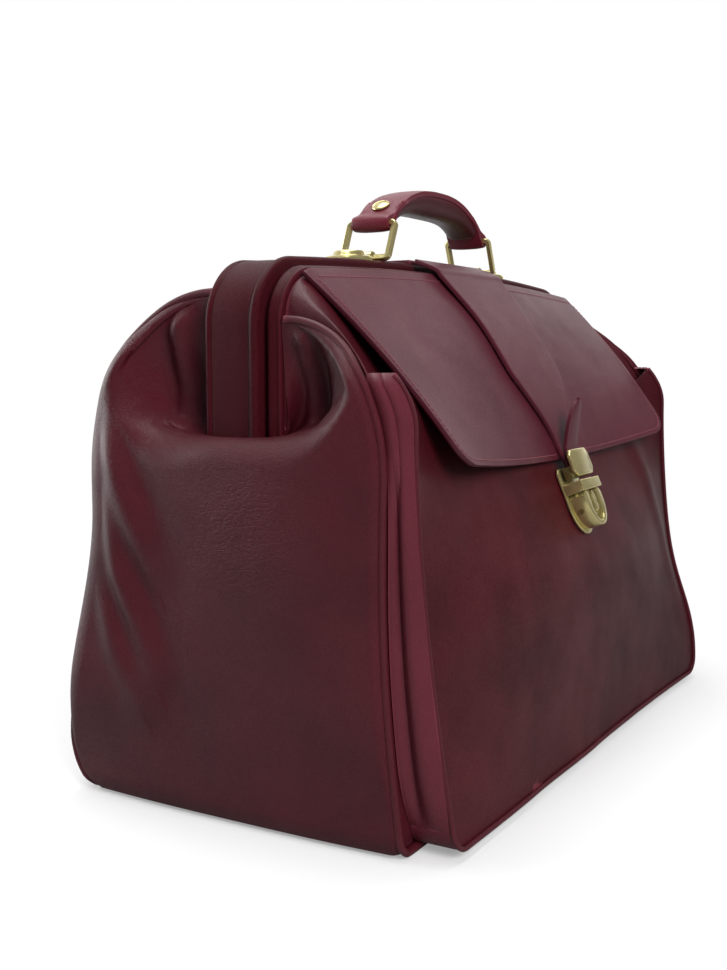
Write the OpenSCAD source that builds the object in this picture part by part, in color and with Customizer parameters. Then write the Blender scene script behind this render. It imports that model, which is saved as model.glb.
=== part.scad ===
// Framed leather travel bag with a hinged jaw frame, a front pocket under a flap,
// a closing strap with a tuck lock, and a top handle on two rings.
// Millimetres. X runs along the bag, the front faces -Y, and Z is up from the floor.

/* [Body] */
// Distance from the centre to the side seams
seam_x = 230; // [200:1:260]
// How far the end panels swell out past the side seams at their lip
end_bulge = 15; // [8:1:22]
// Half depth of the body at the floor
base_y = 107; // [95:1:120]
// Half depth of the body at its shoulder
shoulder_y = 95; // [86:1:102]
// How far the back wall sags out above the floor
back_sag = 24; // [8:1:26]
// Height of the back wall's fullest point
back_sag_z = 40; // [30:1:50]
// How far the front wall is pressed in behind the pocket
front_dip = 5; // [2:1:9]
// Height of the shoulder at the side seams
shoulder_z = 200; // [185:1:212]
// How much lower the shoulder lies at the middle of the bag
shoulder_drop = 34; // [20:1:38]
// Thickness of the body leather
leather_t = 2.4; // [1.6:0.1:3]
// How far the walls draw in at the floor
toe_in = 6; // [2:0.5:9]
// Height over which the walls draw in at the floor
toe_h = 14; // [8:1:20]
// How much further the back wall is tucked under at the floor
back_tuck = 16; // [6:1:18]
// Radius of the piping along the seams
piping_r = 2.3; // [1.6:0.1:2.8]
// Thickness of the lining
lining_t = 1; // [0.6:0.1:1.4]
// Thickness of the stiff board in the base
board_t = 3; // [2:0.5:5]

/* [End folds] */
// Height of the end panel's lip at the middle
lip_z = 217.5; // [212:0.5:224]
// How much higher the lip is at the side seams
lip_rise = 28; // [20:1:34]
// How deep the gusset sags between the lip and the frame
fold_sag = 24; // [10:1:30]

/* [Frame] */
// Height of the crown of the frame above the floor
crown_z = 322; // [312:1:340]
// Radius of the crown's slight arch
crown_r = 3333; // [2500:100:6000]
// How far the frame's legs stand inside the side seams
frame_step = 4; // [2:1:14]
// Radius of the frame's upper corners
corner_r = 32; // [26:1:40]
// Front edge of the back cover, which meets the jaw's parting line
parting_y = -14.7; // [-16:0.1:-12]
// Back edge of the back cover
back_cover_y = 20; // [14:1:26]
// Width of the front cover
front_cover_w = 8.7; // [7:0.1:12]
// Gap between the two covers when the jaw is shut
parting_gap = 2.6; // [2:0.1:4]
// Depth of both covers, measured square to the frame's outline
cover_t = 8.6; // [7:0.1:10]
// Thickness of the steel bars inside the covers
bar_t = 3; // [2:0.1:3.6]
// Radius of the hinge pins
pin_r = 2.5; // [1.6:0.1:3]
// Height of the hinge pins above the floor
hinge_z = 206; // [200:1:210]

/* [Front pocket] */
// How far the pocket's sides stand inside the side seams
pocket_step = 12; // [8:1:30]
// Front of the pocket at the middle, near the floor
pocket_y = 133; // [128:0.5:136]
// Front of the pocket at its sides, near its top
pocket_side_y = 106; // [103:0.5:112]
// How much deeper the pocket's sides are at the floor
pocket_side_flare = 26; // [14:1:28]
// Lean of the pocket front behind the lock, as run over rise
pocket_lean = 0.44; // [0.38:0.01:0.46]
// Height where that lean starts
pocket_lean_z = 122.5; // [116:0.5:128]
// Height of the pocket's mouth at the middle
pocket_mouth_z = 232; // [216:1:234]
// How much higher the mouth stands at the pocket's sides
pocket_mouth_rise = 21; // [12:1:24]
// Radius of the pocket's lower corners
pocket_corner_r = 11; // [8:1:24]

/* [Flap] */
// Half width of the flap at the frame
flap_top_x = 203; // [180:1:206]
// Half width of the flap at its lower edge
flap_low_x = 178; // [150:1:186]
// Thickness of the flap's leather
flap_t = 2.2; // [1.4:0.1:2.6]
// Height of the flap's lower edge at the middle
flap_low_z = 194; // [188:1:202]

/* [Strap] */
// Half width of the strap at the frame
strap_top_x = 50; // [30:1:54]
// Half width of the strap on the flap
strap_mid_x = 42; // [26:1:48]
// Half width of the strap and its folded tab at the lock
strap_end_x = 10; // [7:0.5:12]
// Thickness of the strap
strap_t = 3.5; // [2.4:0.1:3.8]
// Height of the tip of the folded tab
tab_tip_z = 235.5; // [222:0.5:242]

/* [Lock] */
// Half width of the lock's base plate
lock_x = 17; // [14:0.5:19]
// Height of the lock's centre above the floor
lock_z = 170; // [166:1:174]
// Distance from the lock's centre down to the bottom of its base plate
lock_down = 27; // [24:1:30]
// How far the lock's case stands out from its base plate
lock_depth = 12; // [10:0.5:14]
// Travel of the push button
button_travel = 3; // [1:0.5:4]

/* [Handle] */
// Distance from the centre to the handle's round bases
base_disc_x = 102; // [98:1:112]
// Radius of the round bases
base_disc_r = 13; // [10:0.5:13.2]
// Distance from the centre to the rings' lower bars
ring_low_x = 82; // [80:0.5:84]
// Distance from the centre to the rings' upper bars
ring_top_x = 72; // [68:0.5:74]
// Height of the rings' upper bars above the lower ones
ring_rise = 23; // [20:0.5:28]
// Radius of the rings' wire
ring_r = 2.2; // [1.6:0.1:2.4]
// Inner width of the rings
ring_w = 29; // [26:0.5:34]
// Height of the handle's top above the rings' upper bars
handle_rise = 27.5; // [22:0.5:34]
// Thickness of the handle at its middle
handle_t = 18; // [12:0.5:20]

/* [Hidden] */
// Gap between soft pieces that lie against each other
soft_gap = 0.3;
// Radial clearance of a pin or bar that turns in its hole
run_gap = 0.08;
// Curve count for round metal parts
$fn = 32;

// Offsets from the frame's outline, inward positive
front_off = 4;
seat_off = 9;
bar_off = 3;
bar_gap = 0.15;

// Jaw frame positions along Y
front_cover_y1 = parting_y - parting_gap;
front_cover_y0 = front_cover_y1 - front_cover_w;
hinge_y = parting_y - parting_gap / 2;
seat_front_y = -front_cover_y0 + 0.4;
seat_back_y = back_cover_y + 0.4;
leg_low_z = hinge_z + 8;
tab_r = 6;
lap_gap = 0.2;
lap_t = (bar_t - lap_gap) / 2;
bead_h = 1;
bead_w = 3.2;

// Where the leather leaves the frame, front and back
frame_x = seam_x - frame_step;
back_seat_step = 5;
function seat_x(side) = frame_x - seat_off - (side < 0 ? 0 : back_seat_step);
function seat_z(side) = outline_z(seat_x(side), seat_off);
gusset_leg_x = frame_x - 2;
fold_gap = 0.4;
fold_turn = 0.12;

// Floor pieces
base_t = 3;
back_tuck_h = 36;
wall_z = base_t;
board_inset = leather_t + 4;
lining_gap = 2;

// Seams
seam_step = 3.6;
panel_inset_x = 1.2;
shoulder_round_mid = 1.2;
function shoulder_round_end(side) = side < 0 ? 2.1 : 2.2;

// Pocket
pocket_x = seam_x - pocket_step;
pocket_top_z = pocket_mouth_z + pocket_mouth_rise;
pocket_low_z = 5.4;
pocket_straight_z = 225;
pocket_box_z = 150;
pocket_top_in = 12.5;
lean_round = 20;
pocket_piping_r = 0.85 * piping_r;

// Flap, measured on its inner face
flap_lining_t = 0.9;
flap_skin_off = flap_lining_t + 0.1;
flap_outer_off = flap_skin_off + flap_t;
flap_gap = 1.8;
flap_mid_y = 82;
flap_mid_z = 259;
flap_low_y = 102;
flap_low_flare = 16;
flap_low_lift = 10;
flap_hinge = [0, flap_point(0, 0, flap_outer_off)[1], flap_point(0, 0, flap_outer_off)[2]];

// Strap and hasp
strap_seat_z = crown_z + bead_h + soft_gap;
strap_hinge = [0, parting_y - 2.2, strap_seat_z + strap_t / 2];
strap_off = flap_outer_off + 0.5;
strap_end_t = 2.4;

// Lock frame: its centre on the base plate's back, leaning with the pocket front
lock_lean = atan(0.95 * pocket_lean);
lock_y = -pocket_mid_y(lock_z) - 0.7;
plate_t = 1.6;
backing_o = 5;
throat_low = 0.5;
throat_h = 7.5;
throat_wall = 2.4;
hasp_low = 10.5;
hasp_high = 29;
hasp_back_o = 4.4;
hasp_t = 1;
strap_o = hasp_back_o + hasp_t + 0.1;
tab_o = strap_o + strap_end_t + 0.8;
hasp_front_o = tab_o + strap_end_t + 0.1;
hasp_front_t = 2.8;
button_x = 7.6;

// Handle: the rings lean in towards the middle
disc_h = 3;
disc_step_h = 2.6;
ring_low_z = crown_z - ring_low_x * ring_low_x / (2 * crown_r) + 4.6;
ring_top_z = ring_low_z + ring_rise;
ring_lean = atan((ring_low_x - ring_top_x) / ring_rise);
lug_w = 12;
lug_wall = 2;
handle_w = ring_w - 2;
handle_y = 2;
handle_eye_r = 5;
handle_strip_t = 4;
handle_free_gap = 0.75;
rivet_x = 61;
rivet_r = 6;
rivet_h = 1.6;

// Smooth step from 0 to 1
function ease(t) = let (c = max(0, min(1, t))) c * c * (3 - 2 * c);
// Blend between two values or points
function mix(a, b, t) = a * (1 - t) + b * t;
// Zero below the start, then a straight slope of 1, with a rounded bend between
function ramp(h, round) = (h + sqrt(h * h + round * round)) / 2;
// Quadratic curve through two end points, pulled towards a third
function bend(a, b, c, t) = a * (1 - t) * (1 - t) + b * 2 * t * (1 - t) + c * t * t;
// Point on a superellipse quarter, 0 at the start angle and 1 at 90 degrees
function arc_in(a, round) = pow(max(0, cos(a)), 2 / round);
function arc_up(a, round) = pow(max(0, sin(a)), 2 / round);
// Row and column positions
function steps(n) = [for (i = [0 : n]) i / n];
function side_steps(n) = [for (i = [0 : n]) sin(90 * (2 * i / n - 1))];

// Height of the frame's outline at x, moved inward by off
function outline_z(x, off) =
    let (r = corner_r - off, d = max(0, abs(x) - (frame_x - corner_r)))
    crown_z - off - x * x / (2 * crown_r) - (r - sqrt(max(0, r * r - d * d)));

// Half depth of a wall at height z up to the shoulder, side -1 front and 1 back
function wall_y(z, side) =
    side < 0 ? let (t = min(1, z / shoulder_z)) mix(base_y, shoulder_y, t) - front_dip * sin(180 * t) - toe(z)
    : shoulder_y + 2 + back_sag * (1 - ease((z - back_sag_z) / (0.88 * shoulder_z - back_sag_z)))
      - back_tuck * pow(max(0, 1 - z / back_tuck_h), 2) - toe(z);
function toe(z) = toe_in * pow(max(0, 1 - z / toe_h), 2);
// Half depth of the side seam at any height
function seam_y(z, side) =
    z <= shoulder_z ? wall_y(z, side)
    : let (t = min(1, (z - shoulder_z) / (seat_z(side) - shoulder_z)), n = shoulder_round_end(side),
           seat = side < 0 ? seat_front_y : seat_back_y)
      seat + (wall_y(shoulder_z, side) - seat) * pow(1 - pow(t, n), 1 / n);
// Height of the shoulder across the bag, u from -1 to 1
function shoulder_at(u) = shoulder_z - shoulder_drop * (1 - u * u);
// Point on the shoulder's outer face, with a from 0 at the wall to 90 at the frame
function shoulder_point(u, a, side, in) =
    let (n = mix(shoulder_round_mid, shoulder_round_end(side), pow(abs(u), 40)),
         seat = side < 0 ? seat_front_y : seat_back_y,
         x = u * mix(seam_x - panel_inset_x, seat_x(side), pow(sin(a), 2)),
         low = shoulder_at(u), top = outline_z(u * seat_x(side), seat_off) - in,
         y = seat + (wall_y(low, side) - in - seat) * arc_in(a, n))
    [x, side * y, low + (top - low) * arc_up(a, n)];
// Point on a wall's outer face, with v from 0 at the floor to 1 at the shoulder
function wall_point(u, v, side, in) =
    let (z = mix(wall_z, shoulder_at(u) - soft_gap, v))
    [u * (seam_x - panel_inset_x - toe(z)), side * (wall_y(z, side) - in), z];

// End panel: s runs from -1 at the front seam to 1 at the back seam
function end_x(s, z) =
    seam_x + panel_inset_x - toe(z) + mix(4, end_bulge, ease(z / shoulder_z)) * (1 - pow(abs(s), 2.6));
function lip_at(s) = lip_z + lip_rise * s * s;
function end_y(s, z) = let (side = s < 0 ? -1 : 1) s * (seam_y(z, side) - seam_step);
function end_point(s, v, dir, in) =
    let (z = mix(wall_z, lip_at(s), v)) [dir * (end_x(s, z) - in), end_y(s, z), z];
// Gusset fold from the lip to the frame's leg, s from 0 at the hinge to 1 at the seam
function fold_face(s, u, side, dir) =
    let (z0 = lip_at(s) - soft_gap, seat = side < 0 ? seat_front_y : seat_back_y,
         lip = [dir * (end_x(s, z0) - leather_t * (2 - s * s) - 0.5), side * max(fold_gap, abs(end_y(side * s, z0))), z0],
         leg = [dir * mix(gusset_leg_x + 4.5, seat_x(side) + 4.6, s),
                side * mix(fold_gap, seat + 0.3, min(1, s / fold_turn)),
                mix(hinge_z - 10, seat_z(side) - 3, pow(s, 0.8))],
         p = mix(lip, leg, u), crown = sin(180 * u) * pow(s, 3))
    [p[0], p[1] + side * 4 * crown, p[2] - fold_sag * pow(1 - s, 1.5) * sin(180 * u) + 6 * crown];
function fold_point(s, u, side, dir, in) =
    let (d = fold_face(s, min(1, u + 0.02), side, dir) - fold_face(s, max(0, u - 0.02), side, dir),
         l = norm([d[0], d[2]]))
    fold_face(s, u, side, dir) + in * dir * [-d[2], 0, d[0]] / l;

// Front pocket: centre and side profiles, blended across its length
function pocket_mid_y(z) = pocket_y - pocket_lean * ramp(z - pocket_lean_z, lean_round);
function pocket_edge_y(z) =
    pocket_side_y + pocket_side_flare * pow(max(0, 1 - z / pocket_straight_z), 1.7)
    - pocket_top_in * pow(max(0, z - pocket_straight_z) / (pocket_top_z - pocket_straight_z), 2);
function pocket_front_y(x, z) =
    let (p = mix(2.4, 6, ease((z - pocket_box_z) / (pocket_straight_z - pocket_box_z))),
         w = 1 - pow(min(1, abs(x) / pocket_x), p))
    mix(pocket_edge_y(z), pocket_mid_y(z), w);
function pocket_mouth(u) = mix(pocket_mouth_z, pocket_top_z, pow(abs(u), 6));
function pocket_half(z, in) =
    let (r = pocket_corner_r, d = max(0, pocket_low_z + r - z))
    pocket_x - in - r + sqrt(max(0, r * r - d * d));
function pocket_point(u, v, in) =
    let (z = mix(pocket_low_z, pocket_mouth(u), v), x = u * pocket_half(z, 0.4))
    [x, -(pocket_front_y(x, z) - in), z];
// Outline of the pocket's rim, down the left side, along the floor and up the right
function rim_point(k, out) =
    let (r = pocket_corner_r, top = pocket_top_z, low = pocket_low_z,
         side = k < 0 ? -1 : 1, t = abs(k))
    t > 0.5 ? [side * (pocket_x + out), mix(low + r, top, ease((t - 0.5) * 2))]
    : t > 0.3 ? let (a = (t - 0.3) / 0.2 * 90)
        [side * (pocket_x - r + (r + out) * sin(a)), low + r - (r + out) * cos(a)]
    : [side * (pocket_x - r) * t / 0.3, low - out];

// Flap: u from -1 to 1 across, t from 0 at the frame to 1 at the lower edge
function flap_curve(u, t) =
    bend([-(seat_front_y + 0.6), outline_z(u * flap_top_x, seat_off) + flap_gap],
         [-(flap_mid_y - 1.5 * u * u), flap_mid_z],
         [-(flap_low_y + flap_low_flare * u * u), flap_low_z + flap_low_lift * u * u], t);
function flap_normal(u, t) =
    let (d = flap_curve(u, t + 0.01) - flap_curve(u, t - 0.01), l = norm(d)) [d[1] / l, -d[0] / l];
function flap_point(u, t, off) =
    let (p = flap_curve(u, t) + off * flap_normal(u, t)) [u * mix(flap_top_x, flap_low_x, t), p[0], p[1]];

// Strap: its back face from the hinge, over the flap, to the hasp
function strap_half(t) =
    t < 0.35 ? mix(strap_top_x, strap_mid_x, ease(t / 0.35))
    : mix(strap_mid_x, strap_end_x, pow(max(0, (t - 0.6) / 0.4), 1.3) * ease((t - 0.55) / 0.2));
function in_lock(x, o, h) =
    [x, lock_y - o * cos(lock_lean) + h * sin(lock_lean), lock_z + o * sin(lock_lean) + h * cos(lock_lean)];
function strap_thick(t) = mix(strap_t, strap_end_t, ease((t - 0.75) / 0.25));
function strap_back(u, t) =
    t < 0 ? [u * strap_half(0), strap_hinge[1] - 0.5, strap_hinge[2] - strap_t / 2]
    : t < 0.96 ? let (p = flap_curve(0, t) + (strap_off + 1.2 * pow(1 - t, 6)) * flap_normal(0, t))
        [u * strap_half(t), p[0], p[1]]
    : in_lock(u * strap_end_x, strap_o, mix(hasp_low + 9, hasp_low + 2, (t - 0.96) / 0.04));
function strap_normal(t) =
    t < 0 ? [0, 0, 1] : t < 0.96 ? let (n = flap_normal(0, t)) [0, n[0], n[1]]
    : [0, -cos(lock_lean), sin(lock_lean)];
// Tab: the strap's end folded up in front, with a round tip
function tab_half(t) = t < 0.72 ? strap_end_x : strap_end_x * sqrt(max(0.02, 1 - pow((t - 0.72) / 0.28, 2)));
function tab_back(u, t) =
    let (bend_t = 0.36, low = in_lock(0, tab_o, hasp_low + 2), out = in_lock(0, tab_o, hasp_high + 1),
         p = t < bend_t ? mix(low, out, t / bend_t)
             : bend(out, in_lock(0, tab_o, hasp_high + 6), [0, out[1] - 4, tab_tip_z], (t - bend_t) / (1 - bend_t)))
    p + [u * tab_half(t), 0, 0];
function tab_normal(t) = mix([0, -cos(lock_lean), sin(lock_lean)], [0, -1, 0], ease((t - 0.34) / 0.3));

// Closed skin between two grids of points with the same rows and columns
module skin(outer, inner, flip = false) {
    rows = len(outer);
    cols = len(outer[0]);
    n = rows * cols;
    function at(g, i, j) = g * n + i * cols + j;
    function quad(a, b, c, d) = flip ? [[a, b, c], [a, c, d]] : [[a, c, b], [a, d, c]];
    polyhedron(
        points = concat([for (r = outer) each r], [for (r = inner) each r]),
        faces = concat(
            [for (i = [0 : rows - 2], j = [0 : cols - 2])
                each quad(at(0, i, j), at(0, i, j + 1), at(0, i + 1, j + 1), at(0, i + 1, j))],
            [for (i = [0 : rows - 2], j = [0 : cols - 2])
                each quad(at(1, i, j), at(1, i + 1, j), at(1, i + 1, j + 1), at(1, i, j + 1))],
            [for (i = [0 : rows - 2])
                each quad(at(0, i, 0), at(0, i + 1, 0), at(1, i + 1, 0), at(1, i, 0))],
            [for (i = [0 : rows - 2])
                each quad(at(0, i, cols - 1), at(1, i, cols - 1), at(1, i + 1, cols - 1), at(0, i + 1, cols - 1))],
            [for (j = [0 : cols - 2])
                each quad(at(0, 0, j), at(1, 0, j), at(1, 0, j + 1), at(0, 0, j + 1))],
            [for (j = [0 : cols - 2])
                each quad(at(0, rows - 1, j), at(0, rows - 1, j + 1), at(1, rows - 1, j + 1), at(1, rows - 1, j))]),
        convexity = 6);
}

// Round cord swept along a path, with its rings square to the path
module cord(path, r, ref, sides = 8) {
    n = len(path);
    function unit(v) = v / norm(v);
    function tangent(i) = unit(path[min(n - 1, i + 1)] - path[max(0, i - 1)]);
    ring = [for (i = [0 : n - 1])
        let (t = tangent(i), a = unit(cross(t, ref)), b = cross(a, t))
        [for (k = [0 : sides - 1]) path[i] + r * (a * cos(360 * k / sides) + b * sin(360 * k / sides))]];
    polyhedron(
        points = [for (q = ring) each q],
        faces = concat(
            [[for (k = [sides - 1 : -1 : 0]) k]],
            [for (i = [0 : n - 2], k = [0 : sides - 1])
                let (a = i * sides + k, b = i * sides + (k + 1) % sides)
                each [[a, b + sides, a + sides], [a, b, b + sides]]],
            [[for (k = [0 : sides - 1]) (n - 1) * sides + k]]),
        convexity = 6);
}

// Frame outline as a flat shape, moved inward by off and ended at height low
module arch(off, low) {
    n = 12;
    r = corner_r - off;
    cx = frame_x - corner_r;
    right = [for (i = [0 : n]) let (a = 90 * i / n) [cx + r * cos(a), outline_z(cx + r * cos(a), off)]];
    top = [for (i = [1 : n - 1]) let (x = cx * (1 - 2 * i / n)) [x, outline_z(x, off)]];
    left = [for (i = [n : -1 : 0]) [-right[i][0], right[i][1]]];
    polygon(concat([[frame_x - off, low]], right, top, left, [[-(frame_x - off), low]]));
}

// Band that follows the frame, between two offsets and two positions along Y
module band(off0, off1, y0, y1, low) {
    translate([0, y1, 0]) rotate([90, 0, 0]) linear_extrude(y1 - y0) difference() {
        arch(off0, low);
        arch(off1, low - 1);
    }
}

module frame_cover(off0, y0, y1, low) {
    difference() {
        band(off0, off0 + cover_t, y0, y1, low);
        band(off0 + bar_off - bar_gap, off0 + bar_off + bar_t + bar_gap,
             y0 + 1.4 - bar_gap, y1 - 1.4 + bar_gap, low - 1);
    }
}

// Steel bar with a half-lapped hinge tab at the foot of each leg
module frame_bar(off0, y0, y1, lap) {
    inner = bar_off + off0 + bar_t;
    near = y0 > hinge_y ? y0 + 1.4 : y1 - 1.4;
    far = y0 > hinge_y ? (y0 + y1) / 2 : y0 + 1.4;
    band(off0 + bar_off, inner, y0 + 1.4, y1 - 1.4, leg_low_z);
    for (dir = [-1, 1])
        difference() {
            x_in = frame_x - bar_off - front_off - bar_t + lap * (lap_t + lap_gap);
            translate([dir > 0 ? x_in : -x_in - lap_t, 0, 0]) rotate([90, 0, 90]) linear_extrude(lap_t)
                union() {
                    translate([hinge_y, hinge_z]) circle(tab_r);
                    polygon([[hinge_y, hinge_z - tab_r], [far, leg_low_z - 6], [far, leg_low_z + 4],
                             [near, leg_low_z + 4], [near, leg_low_z - 1], [hinge_y, hinge_z + tab_r - 0.5]]);
                }
            translate([dir * (frame_x - 20), hinge_y, hinge_z]) rotate([0, dir * 90, 0])
                cylinder(h = 30, r = pin_r + run_gap);
        }
}

// Piece drawn in the lock's leaning frame: X across, -Y outward, Z up the lock
module lock_place() {
    translate([0, lock_y, lock_z]) rotate([-lock_lean, 0, 0]) children();
}

// Outline of the lock with a round foot, from low to high and half width half
module lock_outline(half, low, high) {
    n = 16;
    polygon(concat(
        [for (i = [0 : n]) let (a = 180 + 180 * i / n) [half * cos(a), low + half * 1.15 + half * 1.15 * sin(a)]],
        [[half, high - 3], [half - 3, high], [-half + 3, high], [-half, high - 3]]));
}

module lock_slab(o0, o1) {
    translate([0, -o0, 0]) rotate([90, 0, 0]) linear_extrude(o1 - o0) children();
}

module base_panel() {
    color("#4a2028") linear_extrude(base_t) polygon(base_outline(0));
}
function base_outline(in) =
    let (y0 = wall_y(base_t, -1) - in, y1 = wall_y(base_t, 1) - in, x = end_x(1, base_t) - in)
    [[-x, -y0 + 8], [-x + 8, -y0], [x - 8, -y0], [x, -y0 + 8],
     [x, y1 - 8], [x - 8, y1], [-x + 8, y1], [-x, y1 - 8]];

module base_board() {
    color("#b08d62") translate([0, 0, base_t]) linear_extrude(board_t) polygon(base_outline(board_inset));
}

// Open bag of lining inside the walls, standing on the board
module lining() {
    low = base_t + board_t;
    high = shoulder_at(0) - 6;
    rows = 8;
    corner = 12;
    function loop(z, in) =
        let (y0 = wall_y(z, -1) - leather_t - lining_gap - in, y1 = wall_y(z, 1) - leather_t - lining_gap - in,
             x = seam_x - toe(z) - leather_t - lining_gap - in)
        [for (q = [0 : 3], a = [0 : 30 : 90])
            let (sx = (q == 0 || q == 3) ? 1 : -1, sy = q < 2 ? 1 : -1,
                 ang = 90 * q + a, cy = (sy > 0 ? y1 : y0) - corner)
            [sx * (x - corner) + corner * cos(ang), sy * cy + corner * sin(ang), z]];
    levels = [for (t = steps(rows)) mix(low, high, t)];
    outer = [for (z = levels) loop(z, 0)];
    inner = [for (z = levels) loop(max(z, low + lining_t), lining_t)];
    n = 16;
    function id(g, i, k) = g * (rows + 1) * n + i * n + k % n;
    color("#6e5040") polyhedron(
        points = concat([for (r = outer) each r], [for (r = inner) each r]),
        faces = concat(
            [[for (k = [0 : n - 1]) id(0, 0, k)]],
            [[for (k = [n - 1 : -1 : 0]) id(1, 0, k)]],
            [for (i = [0 : rows - 1], k = [0 : n - 1])
                each [[id(0, i, k), id(0, i + 1, k), id(0, i + 1, k + 1)],
                      [id(0, i, k), id(0, i + 1, k + 1), id(0, i, k + 1)],
                      [id(1, i, k), id(1, i + 1, k + 1), id(1, i + 1, k)],
                      [id(1, i, k), id(1, i, k + 1), id(1, i + 1, k + 1)]]],
            [for (k = [0 : n - 1])
                each [[id(0, rows, k), id(1, rows, k), id(1, rows, k + 1)],
                      [id(0, rows, k), id(1, rows, k + 1), id(0, rows, k + 1)]]]),
        convexity = 6);
}

module wall(side) {
    us = side_steps(14);
    vs = steps(9);
    color("#5a2630") skin([for (v = vs) [for (u = us) wall_point(u, v, side, 0)]],
                          [for (v = vs) [for (u = us) wall_point(u, v, side, leather_t)]], side > 0);
}
module front_wall() { wall(-1); }
module back_wall() { wall(1); }

module end_panel(dir) {
    ss = side_steps(14);
    vs = steps(9);
    color("#5e2832") skin([for (v = vs) [for (s = ss) end_point(s, v, dir, 0)]],
                          [for (v = vs) [for (s = ss) end_point(s, v, dir, leather_t)]], dir < 0);
}
module end_left() { end_panel(-1); }
module end_right() { end_panel(1); }

// Piping down one side seam, along the floor and up the other
seam_out = [1.9, -0.2];
function seam_cord(z, side) = [seam_x - toe(z) + seam_out[0], side * (wall_y(z, side) + seam_out[1]), z];
module floor_piping(side) {
    low = piping_r + 0.6;
    round_r = 7;
    floor_y = wall_y(low + piping_r, side) + piping_r + 0.5;
    side_run = [for (t = steps(9)) seam_cord(mix(shoulder_z - 1, low + round_r, t), side)];
    foot = side_run[9];
    turn = [for (a = [30, 60, 90])
        [foot[0] - round_r * (1 - cos(a)), mix(foot[1], side * floor_y, a / 90), low + round_r * (1 - sin(a))]];
    half = concat(side_run, turn);
    n = len(half);
    color("#481c26") cord(concat([for (p = half) [-p[0], p[1], p[2]]], [for (i = [n - 1 : -1 : 0]) half[i]]),
                          piping_r, [0, 1, 0]);
}
module front_piping() { floor_piping(-1); }
module back_piping() { floor_piping(1); }

module shoulder(side) {
    us = side_steps(16);
    as = [for (t = steps(9)) 90 * t];
    color("#5a2630") skin([for (a = as) [for (u = us) shoulder_point(u, a, side, 0)]],
                          [for (a = as) [for (u = us) shoulder_point(u, a, side, leather_t)]], side > 0);
}
module front_shoulder() { shoulder(-1); }
module back_shoulder() { shoulder(1); }

module top_piping(side) {
    for (dir = [-1, 1])
        color("#481c26") cord([for (t = steps(9))
            let (p = shoulder_point(dir, 88 * t, side, 0)) p + [dir * 2.8, -side * 0.5, t * 2]],
            piping_r, [1, 0, 0]);
}
module front_top_piping() { top_piping(-1); }
module back_top_piping() { top_piping(1); }

module fold(side, dir) {
    ss = [for (t = steps(8)) mix(0, 0.985, t)];
    us = steps(8);
    color("#4e222c") skin([for (u = us) [for (s = ss) fold_point(s, u, side, dir, 0)]],
                          [for (u = us) [for (s = ss) fold_point(s, u, side, dir, leather_t)]],
                          side * dir < 0);
}
module front_fold_left() { fold(-1, -1); }
module front_fold_right() { fold(-1, 1); }
module back_fold_left() { fold(1, -1); }
module back_fold_right() { fold(1, 1); }

module pocket_front() {
    us = side_steps(16);
    vs = concat([0, 0.03], [for (t = steps(11)) mix(0.06, 1, 1 - pow(1 - t, 1.6))]);
    color("#562530") skin([for (v = vs) [for (u = us) pocket_point(u, v, 0)]],
                          [for (v = vs) [for (u = us) pocket_point(u, v, leather_t)]]);
}

rim_ks = [for (i = [-22 : 22]) i / 22];
module pocket_gusset() {
    function edge(k, out, front) =
        let (p = rim_point(k, out), z = max(p[1], 2.5), y0 = z <= shoulder_z ? wall_y(z, -1) : seam_y(z, -1),
             y1 = pocket_front_y(rim_point(k, -1.6)[0], z) - leather_t - 2 * soft_gap)
        [p[0], -(front ? max(y1, y0 + 3) : y0 + 0.5), z];
    color("#6a2e38") skin([for (k = rim_ks) [edge(k, 0, false), edge(k, 0, true)]],
                          [for (k = rim_ks) [edge(k, -1.6, false), edge(k, -1.6, true)]], true);
}

module pocket_piping() {
    out = 1.2;
    color("#481c26") cord([for (k = rim_ks) let (p = rim_point(k, out))
        [p[0], -(pocket_front_y(p[0], p[1]) + 1.7), max(p[1], piping_r + 0.3)]], pocket_piping_r, [0, 1, 0]);
}

module lock_plate() {
    color("#a99a5c") lock_place() lock_slab(0, plate_t) lock_outline(lock_x, -lock_down, hasp_low + 9);
}
// Case with a window in front, where the button sits
module lock_case() {
    half = lock_x - 1.5;
    color("#b3a468") lock_place() difference() {
        lock_slab(plate_t, lock_depth + plate_t) lock_outline(half, -lock_down + 2.5, throat_low);
        lock_slab(plate_t + 3, lock_depth + plate_t + 1)
            lock_outline(button_x + 1, -lock_down + 6, throat_low + 4);
    }
}
// Throat that the hasp drops into
module lock_throat() {
    deep = lock_depth + 1.6;
    color("#b9ab70") lock_place() difference() {
        translate([-lock_x, -plate_t - deep, throat_low]) cube([2 * lock_x, deep, throat_h]);
        translate([-lock_x + throat_wall, -plate_t - deep + throat_wall, throat_low - 1])
            cube([2 * (lock_x - throat_wall), deep - 2 * throat_wall + 0.8, throat_h + 2]);
    }
}
// Clinched plate behind the pocket leather
module lock_backing() {
    o = backing_o;
    color("#8d8d8d") lock_place() lock_slab(-o - 1, -o) lock_outline(lock_x - 3, -lock_down + 6, 6);
}
module lock_screws() {
    o = backing_o;
    color("#8d8040") lock_place() {
        for (h = [2, -14])
            for (x = h > 0 ? [-11, 11] : [0])
                translate([x, o, h - 3]) rotate([90, 0, 0]) cylinder(h = o - 0.1, r = 1.2);
        for (dir = [-1, 1])
            translate([dir * (lock_x - 1.4), -plate_t - 6, -12]) rotate([0, dir * 90, 0])
                cylinder(h = 0.7, r = 1.6);
    }
}
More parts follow.
